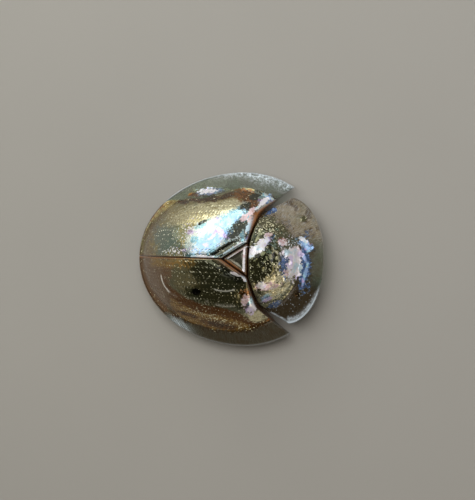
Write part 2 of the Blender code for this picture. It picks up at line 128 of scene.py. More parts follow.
# Cloudy painted reflections in the metal, copying what the mirror shell reflected, as ovals in the plan: half
# length, half width, turn in degrees
Patch = namedtuple("Patch", "tint x y length width turn")
WING_PATCHES = (
    Patch("straw", -0.90, 1.52, 0.90, 0.30, 14),
    Patch("straw", 0.02, 1.72, 0.60, 0.20, 24),
    Patch("moss", -1.95, 0.62, 0.55, 0.50, 0),
    Patch("shade", -0.60, 1.22, 0.12, 0.05, 20),
    Patch("specks", -1.00, 0.98, 0.50, 0.30, 30),
    Patch("umber", -0.75, 2.02, 0.62, 0.10, 4),
    Patch("umber", 0.02, 2.16, 0.36, 0.09, 22),
    Patch("umber", -1.62, 1.92, 0.26, 0.07, -8),
    Patch("sky", -0.74, 2.30, 0.42, 0.12, 5),
    Patch("pearl", -0.80, 2.31, 0.30, 0.08, 5),
    Patch("rust", -1.24, 2.19, 0.22, 0.07, 4),
    Patch("rust", 0.60, 2.14, 0.38, 0.17, -20),
    Patch("rust", 0.62, 2.32, 0.34, 0.08, -8),
    Patch("umber", 0.46, 2.26, 0.16, 0.06, 10),
    Patch("shade", 0.98, 2.30, 0.16, 0.07, -40),
    Patch("rust", 0.92, 1.95, 0.24, 0.15, -60),
    Patch("rust", 1.04, 1.66, 0.20, 0.09, -70),
    Patch("umber", 0.90, 1.74, 0.16, 0.08, -70),
    Patch("shade", 0.57, 1.04, 0.42, 0.23, 38),
    Patch("shade", 0.30, 0.36, 0.48, 0.13, 34),
    Patch("shade", 0.70, 1.70, 0.20, 0.15, 60),
    Patch("shade", 0.92, 2.16, 0.14, 0.12, 0),
    Patch("shade", 0.90, 1.10, 0.12, 0.24, 0),
    Patch("rose", 0.98, 1.62, 0.16, 0.09, 80),
    Patch("rose", 0.78, 1.40, 0.15, 0.09, 50),
    Patch("rose", 0.96, 1.36, 0.12, 0.07, 80),
    Patch("straw", 1.04, 1.56, 0.10, 0.06, 70),
    Patch("umber", 0.87, 1.52, 0.12, 0.06, 40),
    Patch("specks", -1.44, 0.20, 0.60, 0.14, 0),
    Patch("pearl", -0.48, 0.06, 0.46, 0.035, 0),
    Patch("pearl", 0.98, 1.12, 0.22, 0.08, 70),
    Patch("pearl", 1.24, 1.98, 0.15, 0.08, 60),
    Patch("pearl", 1.12, 1.76, 0.12, 0.05, 60),
    Patch("sky", 1.36, 2.10, 0.14, 0.09, 60),
    Patch("sky", 1.18, 1.88, 0.10, 0.05, 60),
    Patch("deep", 1.34, 1.96, 0.06, 0.05, 60),
    Patch("rust", 1.08, 1.84, 0.08, 0.05, 60),
    Patch("sky", 0.30, 1.27, 0.46, 0.17, 42),
    Patch("sky", -0.20, 0.62, 0.58, 0.20, 34),
    Patch("sky", 1.06, 1.22, 0.20, 0.10, 70),
    Patch("sky", 1.02, -1.52, 0.26, 0.10, 63),
    Patch("pearl", 1.10, -1.55, 0.30, 0.10, 63),
    Patch("straw", 1.26, -1.84, 0.16, 0.08, 63),
    Patch("rose", 0.88, -1.40, 0.22, 0.10, 70),
    Patch("straw", 1.10, -1.94, 0.26, 0.17, 0),
    Patch("rust", 0.92, -1.14, 0.18, 0.14, 0),
    Patch("shade", 0.45, -0.46, 0.46, 0.12, -34),
    Patch("umber", -0.20, -2.26, 0.50, 0.12, -10),
    Patch("umber", -1.30, -1.96, 0.40, 0.06, -12),
    Patch("glitter", -0.20, -2.06, 1.20, 0.10, -16),
)
# Painted reflections on the shield, as ovals like those of the wing cases
SHIELD_PATCHES = (
    Patch("glitter", 1.56, 1.12, 0.40, 0.34, 30),
    Patch("glitter", 1.90, -0.80, 0.50, 0.50, 0),
    Patch("specks", 2.20, 0.58, 0.26, 0.30, 0),
    Patch("pearl", 1.27, 0.36, 0.38, 0.14, 38),
    Patch("pearl", 1.50, 0.62, 0.20, 0.11, 50),
    Patch("sky", 1.40, 0.50, 0.34, 0.08, 40),
    Patch("pearl", 1.10, 0.22, 0.14, 0.14, 0),
    Patch("rose", 2.04, 0.60, 0.13, 0.09, -30),
    Patch("rust", 2.02, 0.68, 0.12, 0.07, -30),
    Patch("rose", 1.60, 0.84, 0.11, 0.07, 20),
    Patch("deep", 1.50, 1.68, 0.18, 0.09, 50),
    Patch("deep", 2.16, -0.14, 0.13, 0.42, 0),
    Patch("pearl", 2.41, -0.10, 0.18, 0.48, -6),
    Patch("pearl", 2.32, 0.24, 0.24, 0.16, 0),
    Patch("rose", 2.42, 0.36, 0.14, 0.13, 0),
    Patch("rose", 2.30, -0.40, 0.16, 0.16, 0),
    Patch("deep", 2.66, -0.10, 0.18, 0.86, 0),
    Patch("sky", 2.68, 0.10, 0.05, 0.16, 20),
    Patch("umber", 2.40, -1.16, 0.14, 0.10, 40),
    Patch("straw", 2.48, -1.12, 0.09, 0.08, 40),
    Patch("straw", 2.54, 1.45, 0.10, 0.09, 0),
    Patch("sky", 2.72, 0.52, 0.09, 0.24, 20),
    Patch("sky", 2.70, -0.46, 0.05, 0.30, -12),
    Patch("sky", 2.68, 0.58, 0.28, 0.13, -36),
    Patch("pearl", 2.62, 0.72, 0.17, 0.06, -36),
    Patch("rose", 1.60, -0.86, 0.32, 0.12, 10),
    Patch("pearl", 1.46, -0.84, 0.14, 0.10, 10),
    Patch("straw", 2.00, -0.78, 0.30, 0.22, 45),
    Patch("straw", 1.76, -1.12, 0.28, 0.13, 30),
    Patch("sky", 1.52, -1.28, 0.18, 0.09, 40),
    Patch("deep", 1.70, -1.50, 0.22, 0.08, 26),
)

# Borders of each tint: how strong its oval is where the tint starts and where it is full
TINTS = {"moss": (0.12, 0.70), "straw": (0.15, 0.70), "umber": (0.20, 0.60), "rust": (0.26, 0.60),
         "shade": (0.30, 0.46), "deep": (0.26, 0.56), "sky": (0.24, 0.60), "rose": (0.36, 0.52),
         "pearl": (0.36, 0.50)}
# Painted highlights and dark reflections: these tints lose most of their metal, so they look bright or dark
# from every side
BRIGHT_TINTS = ("deep", "rose", "pearl")
COVERING_TINTS = ("straw", "rust", "deep", "sky", "rose", "pearl")
# Painted glints, scattered as small dots
SPECKS = ("specks", "glitter")

# Pale thin arcs in the plan of a wing case, angles in degrees, from faint to bright
Scratch = namedtuple("Scratch", "x y radius start end bright")
PALE_ARCS = (
    Scratch(-1.45, 0.62, 0.70, 84, 184, 1.0),
    Scratch(0.23, 0.10, 0.98, 64, 114, 0.7),
    Scratch(0.25, 0.19, 1.42, 70, 124, 0.45),
    Scratch(1.42, -3.27, 4.00, 101, 112, 0.35),
)

# Domes: height = root + rise * (1 - reach ** power), reach being 1 on the dome's own edge
Dome = namedtuple("Dome", "centre front rear side root rise power")
WING_DOME = Dome(0.075, 2.60, 3.05, 2.40, 0.95, 1.70, 2.6)
WING_HOLLOW = Dome(0.075, 2.40, 2.70, 2.05, 0.55, 1.65, 2.6)
SHIELD_DOME = Dome(0.875, 1.66, 1.66, 1.76, 1.05, 1.35, 2.8)
SHIELD_HOLLOW = Dome(0.875, 1.42, 1.42, 1.42, 0.62, 1.36, 2.8)
BLEND = 0.12

# Body under the shell, in millimetres
BODY_GAP = 0.05
BELLY_Z = 0.72
WAIST_X = -0.47
STERNITES = 5
STERNITE_STEP = 0.05
THORAX_SIDE = 1.80
PROTHORAX_FRONT = 1.60
PROTHORAX_SIDE = 1.05
ABDOMEN_REACH = 0.90
ABDOMEN_SIDE = 0.88

# Head and eyes, in millimetres
HEAD = np.array((1.98, 0.0, 0.64))
EYE = np.array((1.99, 0.48, 0.70))
EYE_RADII = np.array((0.16, 0.22, 0.18))
FACET = 0.022

# Legs of the left side, in millimetres: coxa, knee and ankle as x, y, and the tip of the foot
Leg = namedtuple("Leg", "coxa knee ankle tip")
LEGS = {
    "leg_front": Leg((1.38, 0.36), (1.22, 1.30), (1.92, 1.36), (2.48, 1.30)),
    "leg_middle": Leg((0.62, 0.50), (0.74, 1.58), (-0.26, 2.26), (-1.10, 2.36)),
    "leg_hind": Leg((-0.20, 0.60), (-0.38, 1.42), (-1.24, 1.90), (-1.66, 2.36)),
}
COXA_RADIUS = 0.21
COXA_Z = 0.39
FEMUR_RADIUS = 0.20
FEMUR_Z = 0.43
KNEE_RADIUS = 0.12
KNEE_Z = 0.42
ANKLE_Z = 0.24
LOBES = 3
LOBE_WIDTH = 0.19
LOBE_HEIGHT = 0.21
CLAW_LENGTH = 0.17
CLAW_RADIUS = 0.035

# Antennae, folded back under the shield between the head and the front legs, in millimetres
ANTENNA_CURVE = ((2.34, 0.20, 0.56), (2.62, 0.42, 0.47), (2.47, 1.27, 0.45), (1.84, 0.98, 0.45))
ANTENNA_SEGMENTS = 11
ANTENNA_SHAFT = 0.085
ANTENNA_CLUB = 0.118

# Mesh density of the shell
WING_ROWS = 290
WING_COLUMNS = 140
SHIELD_ROWS = 150
SHIELD_COLUMNS = 230
LIMB_SIDES = 20

# Fine hairs and voxels, in millimetres
HAIR_TIP = 0.0005
HAIR_ROOT = 0.0045
LEG_HAIR = 0.045
LEG_HAIRS = 420.0
GRAIN = 0.013

# Stage: half side of the floor, distance of the soft boxes, and the point in the picture's middle
FLOOR_HALF = 0.6
LIGHT_DISTANCE = 60 * MM
LIGHT_CENTRE = Vector((0, 0, 1.2 * MM))
LOOKED_AT = Vector((0.231, 0.310, 0.60)) * MM


def length_setting(name, description, default):
    """A length that the user may change, in metres."""
    return bpy.props.FloatProperty(
        name=name, description=description, default=default, unit="LENGTH", precision=6)


def angle_setting(name, description, degrees):
    """An angle that the user may change."""
    return bpy.props.FloatProperty(
        name=name, description=description, default=math.radians(degrees), subtype="ANGLE")


def colour_setting(name, description, *default):
    """A linear colour that the user may change."""
    return bpy.props.FloatVectorProperty(
        name=name, description=description, default=default, subtype="COLOR", size=3)


class BeetleSizes(bpy.types.PropertyGroup):
    """Sizes of the relief on the beetle's plates."""

    puncture_rows: bpy.props.IntProperty(
        name="Puncture Rows", description="Rows of pits across half the shell, rim included", default=16)
    puncture_pitch: length_setting("Puncture Pitch", "Distance between pits along a row", 0.00013)
    puncture_radius: length_setting("Puncture Radius", "Radius of one pit", 0.000027)
    puncture_depth: length_setting("Puncture Depth", "Depth of one pit", 0.000013)
    hammer_depth: length_setting("Hammer Depth", "Height of the fine uneven relief on the shield", 0.000024)
    hammer_size: length_setting("Hammer Size", "Width of one dent of the uneven relief", 0.00016)


class BeetleColours(bpy.types.PropertyGroup):
    """Colours of the beetle, as linear values."""

    gold: colour_setting("Gold", "Main metallic colour of the shell", 0.47, 0.38, 0.16)
    olive: colour_setting("Olive", "Greener metallic colour of the shell", 0.28, 0.29, 0.17)
    # Painted dark reflection: drab darkens the right wing case and the shield
    drab: colour_setting("Drab", "Dark olive of the shield and the right wing case", 0.130, 0.134, 0.072)
    # Painted reflection colour: silver, lilac and cyan tint the metal where the key light's reflection falls
    # on the left wing case
    silver: colour_setting("Silver", "Pale metal of the front half", 0.60, 0.66, 0.63)
    lilac: colour_setting("Lilac", "Violet sheen in the metal", 0.47, 0.37, 0.66)
    cyan: colour_setting("Cyan", "Blue-green sheen in the metal", 0.26, 0.47, 0.54)
    # Painted reflections of the brown surroundings: bronze on the flanks, partly the shell's own edge, gold
    # streaks in them, and mauve on the rear slope
    bronze: colour_setting("Bronze", "Orange-brown of the dome's lower edge", 0.145, 0.058, 0.009)
    flank: colour_setting("Flank", "Gold streaks in the dome's lower edge", 0.38, 0.23, 0.060)
    mauve: colour_setting("Mauve", "Brown of the rear slope", 0.25, 0.145, 0.082)
    # Moss to orchid colour the painted reflections: shade and deep are painted dark reflections, rose and
    # pearl painted highlights, the rest reflected surroundings
    moss: colour_setting("Moss", "Grey-green clouds behind", 0.27, 0.33, 0.28)
    straw: colour_setting("Straw", "Pale yellow gold", 0.88, 0.82, 0.54)
    rust: colour_setting("Rust", "Orange-brown patches by the shoulder", 0.33, 0.140, 0.035)
    umber: colour_setting("Umber", "Dark brown bands", 0.070, 0.034, 0.010)
    shade: colour_setting("Shade", "Dark olive patches", 0.060, 0.064, 0.042)
    deep: colour_setting("Deep", "Dark blue patches of the shield", 0.060, 0.115, 0.26)
    sky: colour_setting("Sky", "Blue patches", 0.34, 0.52, 0.84)
    rose: colour_setting("Rose", "Pink patches", 0.76, 0.53, 0.54)
    pearl: colour_setting("Pearl", "White patches", 0.95, 0.90, 0.93)
    aqua: colour_setting("Aqua", "Blue-green in the white patches", 0.52, 0.82, 0.95)
    orchid: colour_setting("Orchid", "Lilac in the white patches", 0.74, 0.58, 0.94)
    # Also paints the shade in the pits
    dark_specks_and_pit_shade: colour_setting("Dark Specks And Pit Shade", "Dark specks in the patches", 0.035, 0.022, 0.012)
    spot: colour_setting("Spot", "Dark spot in the middle of each wing case", 0.012, 0.010, 0.008)
    glint: colour_setting("Glint", "Pits that shine", 0.95, 0.90, 0.72)
    scratch: colour_setting("Scratch", "Fine pale scratches", 0.95, 0.92, 0.86)
    # Painted light and shade on the walls between plates: the near-black wall colour is shade in the gaps,
    # amber the horn colour where the light catches them
    wall: colour_setting("Wall", "Dark walls between the plates", 0.032, 0.018, 0.011)
    amber: colour_setting("Amber", "Brown walls between the plates", 0.46, 0.16, 0.035)
    lining: colour_setting("Lining", "Inner face of the shell", 0.16, 0.08, 0.03)
    clear: colour_setting("Clear", "What the clear flange lets through", 0.76, 0.85, 0.76)
    film: colour_setting("Film", "Grey-green horn of the clear flange", 0.065, 0.092, 0.070)
    horn: colour_setting("Horn", "Browner horn of the shield's flange", 0.40, 0.31, 0.20)
    # A faint tint of the flange that also paints the shade under it on the right
    smoke: colour_setting("Smoke", "Dark brown of the flange on the right", 0.042, 0.027, 0.013)
    # Painted highlight along the rim of the flange
    frost: colour_setting("Frost", "White light in the rim of the flange", 0.82, 0.92, 1.0)
    slate: colour_setting("Slate", "Green-grey metal of the scutellum", 0.14, 0.155, 0.115)
    stone: colour_setting("Stone", "Browner metal of the scutellum", 0.22, 0.20, 0.15)
    underside: colour_setting("Underside", "Belly plates", 0.075, 0.040, 0.020)
    suture: colour_setting("Suture", "Seams of the belly plates", 0.012, 0.008, 0.006)
    head: colour_setting("Head", "Head under the shield", 0.16, 0.085, 0.030)
    jaw: colour_setting("Jaw", "Jaws and seams of the head", 0.020, 0.010, 0.006)
    eye: colour_setting("Eye", "Black of the eyes", 0.008, 0.007, 0.006)
    iris: colour_setting("Iris", "Brown depth of the eyes", 0.05, 0.03, 0.02)
    leg: colour_setting("Leg", "Legs and antennae", 0.72, 0.54, 0.27)
    knee: colour_setting("Knee", "Joints and claws of the legs", 0.09, 0.04, 0.015)
    ring: colour_setting("Ring", "Joints of the antennae", 0.05, 0.025, 0.012)
    foot: colour_setting("Foot", "Pads of the feet", 0.92, 0.88, 0.74)
    floor: colour_setting("Floor", "Plain floor of the stage", 0.40, 0.375, 0.34)
    world: colour_setting("World", "Dim light from all round", 0.050, 0.050, 0.032)


class BeetleStage(bpy.types.PropertyGroup):
    """Camera of the stage."""

    azimuth: angle_setting("Azimuth", "Side the camera leans to; 90 degrees is the head", 90)
    elevation: angle_setting("Elevation", "Height of the camera's direction above the floor", 77)
    roll: angle_setting("Roll", "Turn of the body in the picture, head downwards", 1.7)
    distance: length_setting("Distance", "From the camera to the shell", 0.055)
    picture_side: length_setting("Picture Side", "Height of the picture at the level of the rim", 0.01728)


def smooth_max(a, b, blend):
    """The greater of two heights, with the crease between them rounded."""
    return (a + b + np.sqrt((a - b) ** 2 + blend ** 2)) / 2


def smooth_step(value, low=0.0, high=1.0):
    """Ease from 0 to 1 while value goes from low to high."""
    share = np.clip((value - low) / (high - low), 0.0, 1.0)
    return share * share * (3 - 2 * share)


def bump(value, width):
    """Bell curve of height 1 round zero."""
    return np.exp(-(value / width) ** 2)


def dome_reach(dome, x, y):
    """How far out a point lies on a dome: 0 at its top, 1 on its edge."""
    along = (x - dome.centre) / np.where(x > dome.centre, dome.front, dome.rear)
    return np.hypot(along, y / dome.side)


def dome_height(dome, x, y):
    """Height of a dome at x, y."""
    return dome.root + dome.rise * (1 - dome_reach(dome, x, y) ** dome.power)


def rim_half_width(x):
    """Half the width of the wing cases at x."""
    along = (x - RIM_X) / np.where(x > RIM_X, RIM_FRONT, RIM_REAR)
    return RIM_SIDE * np.sqrt(np.maximum(0.0, 1 - along * along))


def rim_reach(x, y):
    """How far out a point lies on the plan of the wing cases: 1 on the rim."""
    along = (x - RIM_X) / np.where(x > RIM_X, RIM_FRONT, RIM_REAR)
    return np.hypot(along, y / RIM_SIDE)


def rim_distance(x, y):
    """Distance from the rim of the wing cases, in the plan."""
    size = np.where(x > RIM_X, RIM_FRONT, RIM_REAR)
    reach = np.maximum(rim_reach(x, y), 0.05)
    slope = np.hypot((x - RIM_X) / size ** 2, y / RIM_SIDE ** 2) / reach
    return np.maximum(0.0, (1 - reach) / slope)


def wing_margin(x, y):
    """0 on the rim of the wing cases, 1 from the margin's root inwards."""
    return np.minimum(1.0, (1 - rim_reach(x, y)) / RIM_WIDTH)


def wing_top(x, y):
    """Upper face of the wing cases."""
    margin = RIM_TOP + RIM_RISE * wing_margin(x, y)
    return smooth_max(dome_height(WING_DOME, x, y), margin, BLEND)


def wing_under(x, y):
    """Lower face of the wing cases."""
    inward = wing_margin(x, y)
    thickness = RIM_EDGE + (RIM_ROOT - RIM_EDGE) * inward
    margin = RIM_TOP + RIM_RISE * inward - thickness
    return smooth_max(dome_height(WING_HOLLOW, x, y), margin, BLEND / 2)


def shield_reach(x, y):
    """How far out a point lies on the plan of the pronotum: 1 on its front rim."""
    return np.hypot((x - BASE_X) / (LENGTH / 2 - BASE_X), y / SHIELD_SIDE)


def shield_margin(x, y):
    """0 on the rim of the shield, 1 from the margin's root inwards."""
    return np.clip((1 - shield_reach(x, y)) / SHIELD_MARGIN, 0.0, 1.0)


def shield_top(x, y):
    """Upper face of the pronotum."""
    margin = SHIELD_TOP + SHIELD_RISE * shield_margin(x, y)
    return smooth_max(dome_height(SHIELD_DOME, x, y), margin, BLEND)


def shield_under(x, y):
    """Lower face of the pronotum."""
    inward = shield_margin(x, y)
    thickness = SHIELD_EDGE + (SHIELD_ROOT - SHIELD_EDGE) * inward
    margin = SHIELD_TOP + SHIELD_RISE * inward - thickness
    return smooth_max(dome_height(SHIELD_HOLLOW, x, y), margin, BLEND / 2)


def base_line(y):
    """x of the line between wing cases and pronotum."""
    beside = np.maximum(0.0, np.abs(y) - SCUTELLUM_SIDE)
    swept = np.maximum(0.0, np.abs(y) - SHOULDER_Y)
    return BASE_X + BASE_SLOPE * beside + SHOULDER_SWEEP * swept ** SHOULDER_POWER


def slope_of(line, y):
    """How fast a line's x grows with the distance from the midline."""
    step = 0.005
    side = np.abs(y)
    return (line(side + step) - line(side)) / step


def wing_front(y):
    """x of a wing case's front edge: the side of the scutellum's notch, then the base line."""
    notch = BASE_X - SCUTELLUM_LENGTH * (1 - np.abs(y) / SCUTELLUM_SIDE)
    return np.where(np.abs(y) < SCUTELLUM_SIDE, notch, base_line(y))


def rounded_edge(distance, radius):
    """How far a surface drops near an edge that is rounded with this radius."""
    inside = radius - np.minimum(np.maximum(distance, 0.0), radius)
    return radius - np.sqrt(np.maximum(0.0, radius ** 2 - inside ** 2))


def undulation(x, y):
    """Slow uneven swell of the shell, between about -1 and 1."""
    slow = np.sin(2.1 * x + 1.3 * y + 0.4) * np.sin(1.7 * y - 0.9 * x + 1.1)
    quick = np.sin(4.7 * x - 2.9 * y + 2.0) * np.sin(3.7 * y + 3.1 * x)
    return 0.65 * slow + 0.35 * quick


def dense_steps(count, ends, share):
    """Places from 0 to 1, packed more closely in the first share of the way."""
    near = np.linspace(0.0, share, ends, endpoint=False)
    return np.concatenate([near, np.linspace(share, 1.0, count - ends + 1)])


class Value:
    """A number on a node socket. Python operators on it add Math nodes to its tree."""

    def __init__(self, board, socket):
        self.board = board
        self.socket = socket

    def math(self, operation, *others):
        """Add one Math node with this value first."""
        values = dict(enumerate((self,) + others))
        return self.board.value("ShaderNodeMath", {"operation": operation}, values)

    def __add__(self, other):
        return self.math("ADD", other)

    def __sub__(self, other):
        return self.math("SUBTRACT", other)

    def __mul__(self, other):
        return self.math("MULTIPLY", other)

    def __truediv__(self, other):
        return self.math("DIVIDE", other)

    def __pow__(self, other):
        return self.math("POWER", other)

    def __rsub__(self, other):
        return (self * -1.0) + other

    def __rtruediv__(self, other):
        return (self ** -1.0) * other

    __radd__ = __add__
    __rmul__ = __mul__

    def step(self, low, high):
        """Ease from 0 to 1 while the value goes from low to high, which may be the lesser."""
        settings = {"interpolation_type": "SMOOTHSTEP"}
        if low < high:
            return self.board.value("ShaderNodeMapRange", settings, {0: self, 1: low, 2: high})
        return 1 - self.board.value("ShaderNodeMapRange", settings, {0: self, 1: high, 2: low})

    def bell(self, width):
        """Bell curve of height 1 round zero."""
        ratio = self / width
        return (ratio * ratio * -1.0).math("EXPONENT")

    def most(self, *others):
        """The greatest of this value and others."""
        value = self
        for other in others:
            value = value.math("MAXIMUM", other)
        return value

    def clamped(self, low=0.0, high=1.0):
        """The value kept between two limits."""
        return self.math("MAXIMUM", low).math("MINIMUM", high)


class Board:
    """A node tree in which one method adds every kind of node."""

    def __init__(self, tree):
        self.tree = tree

    def node(self, kind, settings=None, values=None):
        """Add a node, make its settings, then fill or link its sockets."""
        node = self.tree.nodes.new(kind)
        for name, setting in (settings or {}).items():
            setattr(node, name, setting)
        for key, value in (values or {}).items():
            self.feed(node.inputs[key], value)
        return node

    def feed(self, socket, value):
        """Link a value to a socket, or set it there."""
        if isinstance(value, Value):
            value = value.socket
        if isinstance(value, bpy.types.NodeSocket):
            self.tree.links.new(value, socket)
        elif isinstance(value, tuple) and socket.type == "RGBA":
            socket.default_value = (*value[:3], 1.0)
        else:
            socket.default_value = value

    def value(self, kind, settings=None, values=None, output=0):
        """Add a node and wrap one of its number outputs."""
        return Value(self, self.node(kind, settings, values).outputs[output])

    def vector(self, operation, first, second=None):
        """Add one Vector Math node; what scales a vector goes in by its name."""
        values = {0: first}
        if second is not None:
            values["Scale" if operation == "SCALE" else 1] = second
        return self.node("ShaderNodeVectorMath", {"operation": operation}, values).outputs[0]

    def joined(self, *numbers):
        """Two or three numbers as a vector."""
        return self.node("ShaderNodeCombineXYZ", None, dict(enumerate(numbers))).outputs[0]

    def mix(self, first, second, share):
        """Blend two colours."""
        node = self.node("ShaderNodeMix", {"data_type": "RGBA"}, {0: share, 6: first, 7: second})
        return node.outputs[2]

    def layered(self, colour, *coats):
        """Lay colours over a first one, each with its share."""
        for coat, share in coats:
            colour = self.mix(colour, coat, share)
        return colour


class Paint(Board):
    """A material's node tree."""

    def __init__(self, name):
        self.material = bpy.data.materials.new(name)
        self.material.use_nodes = True
        super().__init__(self.material.node_tree)
        self.tree.nodes.clear()
        place = self.node("ShaderNodeTexCoord").outputs["Object"]
        self.place = self.vector("SCALE", place, 1 / MM)

    def attribute(self, name):
        """A number stored on the mesh."""
        return self.value("ShaderNodeAttribute", {"attribute_name": name}, output="Fac")

    def noise(self, size, detail=2.0, roughness=0.5, shift=0.0, distortion=0.0):
        """Cloudy noise from 0 to 1, with its features about this many millimetres across."""
        place = self.place
        if shift:
            place = self.vector("ADD", place, (shift, -shift, shift))
        values = {"Vector": place, "Scale": 1 / size, "Detail": detail, "Roughness": roughness,
                  "Distortion": distortion}
        return self.value("ShaderNodeTexNoise", None, values, "Fac")

    def cells(self, size, feature="F1"):
        """Distances in a pattern of cells about this many millimetres across."""
        values = {"Vector": self.place, "Scale": 1 / size}
        return self.value("ShaderNodeTexVoronoi", {"feature": feature}, values, "Distance")

    def bump(self, height, distance, strength=1.0, normal=None):
        """Normal of a surface raised by height times this many millimetres."""
        values = {"Height": height, "Distance": distance * MM, "Strength": strength}
        if normal is not None:
            values["Normal"] = normal
        return self.node("ShaderNodeBump", None, values).outputs["Normal"]

    def facets(self, size, tilt):
        """The surface's normal, leaned a little another way in each of many small cells."""
        wobble = self.node("ShaderNodeTexNoise", None, {"Vector": self.place, "Scale": 1.3 / size})
        strayed = self.node("ShaderNodeMix", {"data_type": "VECTOR", "factor_mode": "UNIFORM"},
                            {0: 0.10 * size, 4: self.place, 5: wobble.outputs["Color"]}).outputs[1]
        cell = self.node("ShaderNodeTexVoronoi", None, {"Vector": strayed, "Scale": 1 / size})
        lean = self.vector("SUBTRACT", cell.outputs["Color"], (0.5, 0.5, 0.5))
        normal = self.node("ShaderNodeNewGeometry").outputs["Normal"]
        return self.vector("NORMALIZE", self.vector("ADD", normal, self.vector("SCALE", lean, tilt)))

    def surface(self, values):
        """A Principled shader."""
        return self.node("ShaderNodeBsdfPrincipled", None, values).outputs[0]

    def finish(self, shader):
        """Wire a shader to the output and give back the material."""
        self.node("ShaderNodeOutputMaterial", None, {"Surface": shader})
        return self.material


def colours():
    """The colours that the user may change, as plain tuples."""
    group = bpy.context.scene.beetle_colours
    return SimpleNamespace(**{name: tuple(getattr(group, name)) for name in BeetleColours.__annotations__})


def sizes():
    """The relief sizes that the user may change."""
    return bpy.context.scene.beetle_sizes


def broken(paint, name, ragged, low, high):
    """Mask of a stored number, its border broken up by noise."""
    mark = paint.attribute(name)
    return (mark + ragged * mark.step(0.02, 0.30)).step(low, high)


def patch_colours(paint, fine, sheen):
    """Colour of each tint of the painted reflections, mottled by noise."""
    shade = colours()
    pearl = paint.layered(shade.pearl, (shade.aqua, sheen.step(0.48, 0.36) * 0.7),
                          (shade.orchid, sheen.step(0.52, 0.64) * 0.7))
    return {
        "moss": shade.moss,
        "straw": paint.mix(shade.straw, shade.gold, fine.step(0.50, 0.40) * 0.8),
        "umber": paint.mix(shade.umber, shade.rust, fine.step(0.52, 0.62) * 0.7),
        "rust": paint.mix(shade.rust, shade.dark_specks_and_pit_shade, fine.step(0.52, 0.40)),
        "shade": shade.shade,
        "deep": paint.mix(shade.deep, shade.sky, fine.step(0.56, 0.66) * 0.6),
        "sky": paint.layered(shade.sky, (shade.aqua, sheen.step(0.47, 0.38)),
                             (shade.orchid, sheen.step(0.52, 0.62))),
        "rose": paint.layered(shade.rose, (shade.rust, fine.step(0.46, 0.38) * 0.7),
                              (pearl, fine.step(0.54, 0.64) * 0.8)),
        "pearl": pearl,
        "specks": pearl,
        "glitter": shade.straw,
    }


def metal_colour(paint, ragged, fine, sheen):
    """Colour of the metal: gold behind, silver in front, brown flanks, then the cloudy patches; all but gold
    and olive are painted reflections, the brown flanks partly.
    """
    shade = colours()
    patches = paint.noise(0.75, 2.0, 0.55, distortion=0.6)
    gilded = broken(paint, "streak", ragged, 0.25, 0.80) * fine.step(0.38, 0.54)
    silver = paint.layered(shade.silver, (shade.cyan, sheen.step(0.51, 0.41)),
                           (shade.lilac, sheen.step(0.52, 0.61)))
    metal = paint.layered(
        shade.gold,
        (shade.olive, patches.step(0.35, 0.65)),
        # painted reflection colour where the key light falls on the left wing case
        (silver, broken(paint, "cool", ragged, 0.25, 0.75)),
        # painted dark reflection over the right wing case and the shield
        (shade.drab, paint.attribute("dull")),
        # painted reflections: mauve rear, bronze flank (partly the shell's own edge) and gold streaks
        (shade.mauve, broken(paint, "rear", ragged, 0.05, 0.80) * 0.9),
        (shade.bronze, broken(paint, "band", ragged * 0.5, 0.15, 0.75)),
        (shade.flank, gilded))
    inner = patch_colours(paint, fine, sheen)
    bright = gilded * 0.25
    cover = gilded * 0.5
    # Painted reflections laid over the metal, the bright ones mostly not metallic
    for tint, (low, high) in TINTS.items():
        mask = broken(paint, tint, ragged, low, high)
        metal = paint.mix(metal, inner[tint], mask)
        if tint in BRIGHT_TINTS:
            bright = mask.math("MAXIMUM", bright)
        if tint in COVERING_TINTS:
            cover = mask.math("MAXIMUM", cover)
    # Painted glints as scattered dots
    dust = paint.noise(0.060, 2.0, 0.50, shift=5.5)
    for tint in SPECKS:
        mask = (paint.attribute(tint) * 0.13 + dust).step(0.66, 0.71)
        metal = paint.mix(metal, inner[tint], mask)
        bright = mask.math("MAXIMUM", bright)
    return metal, bright, cover


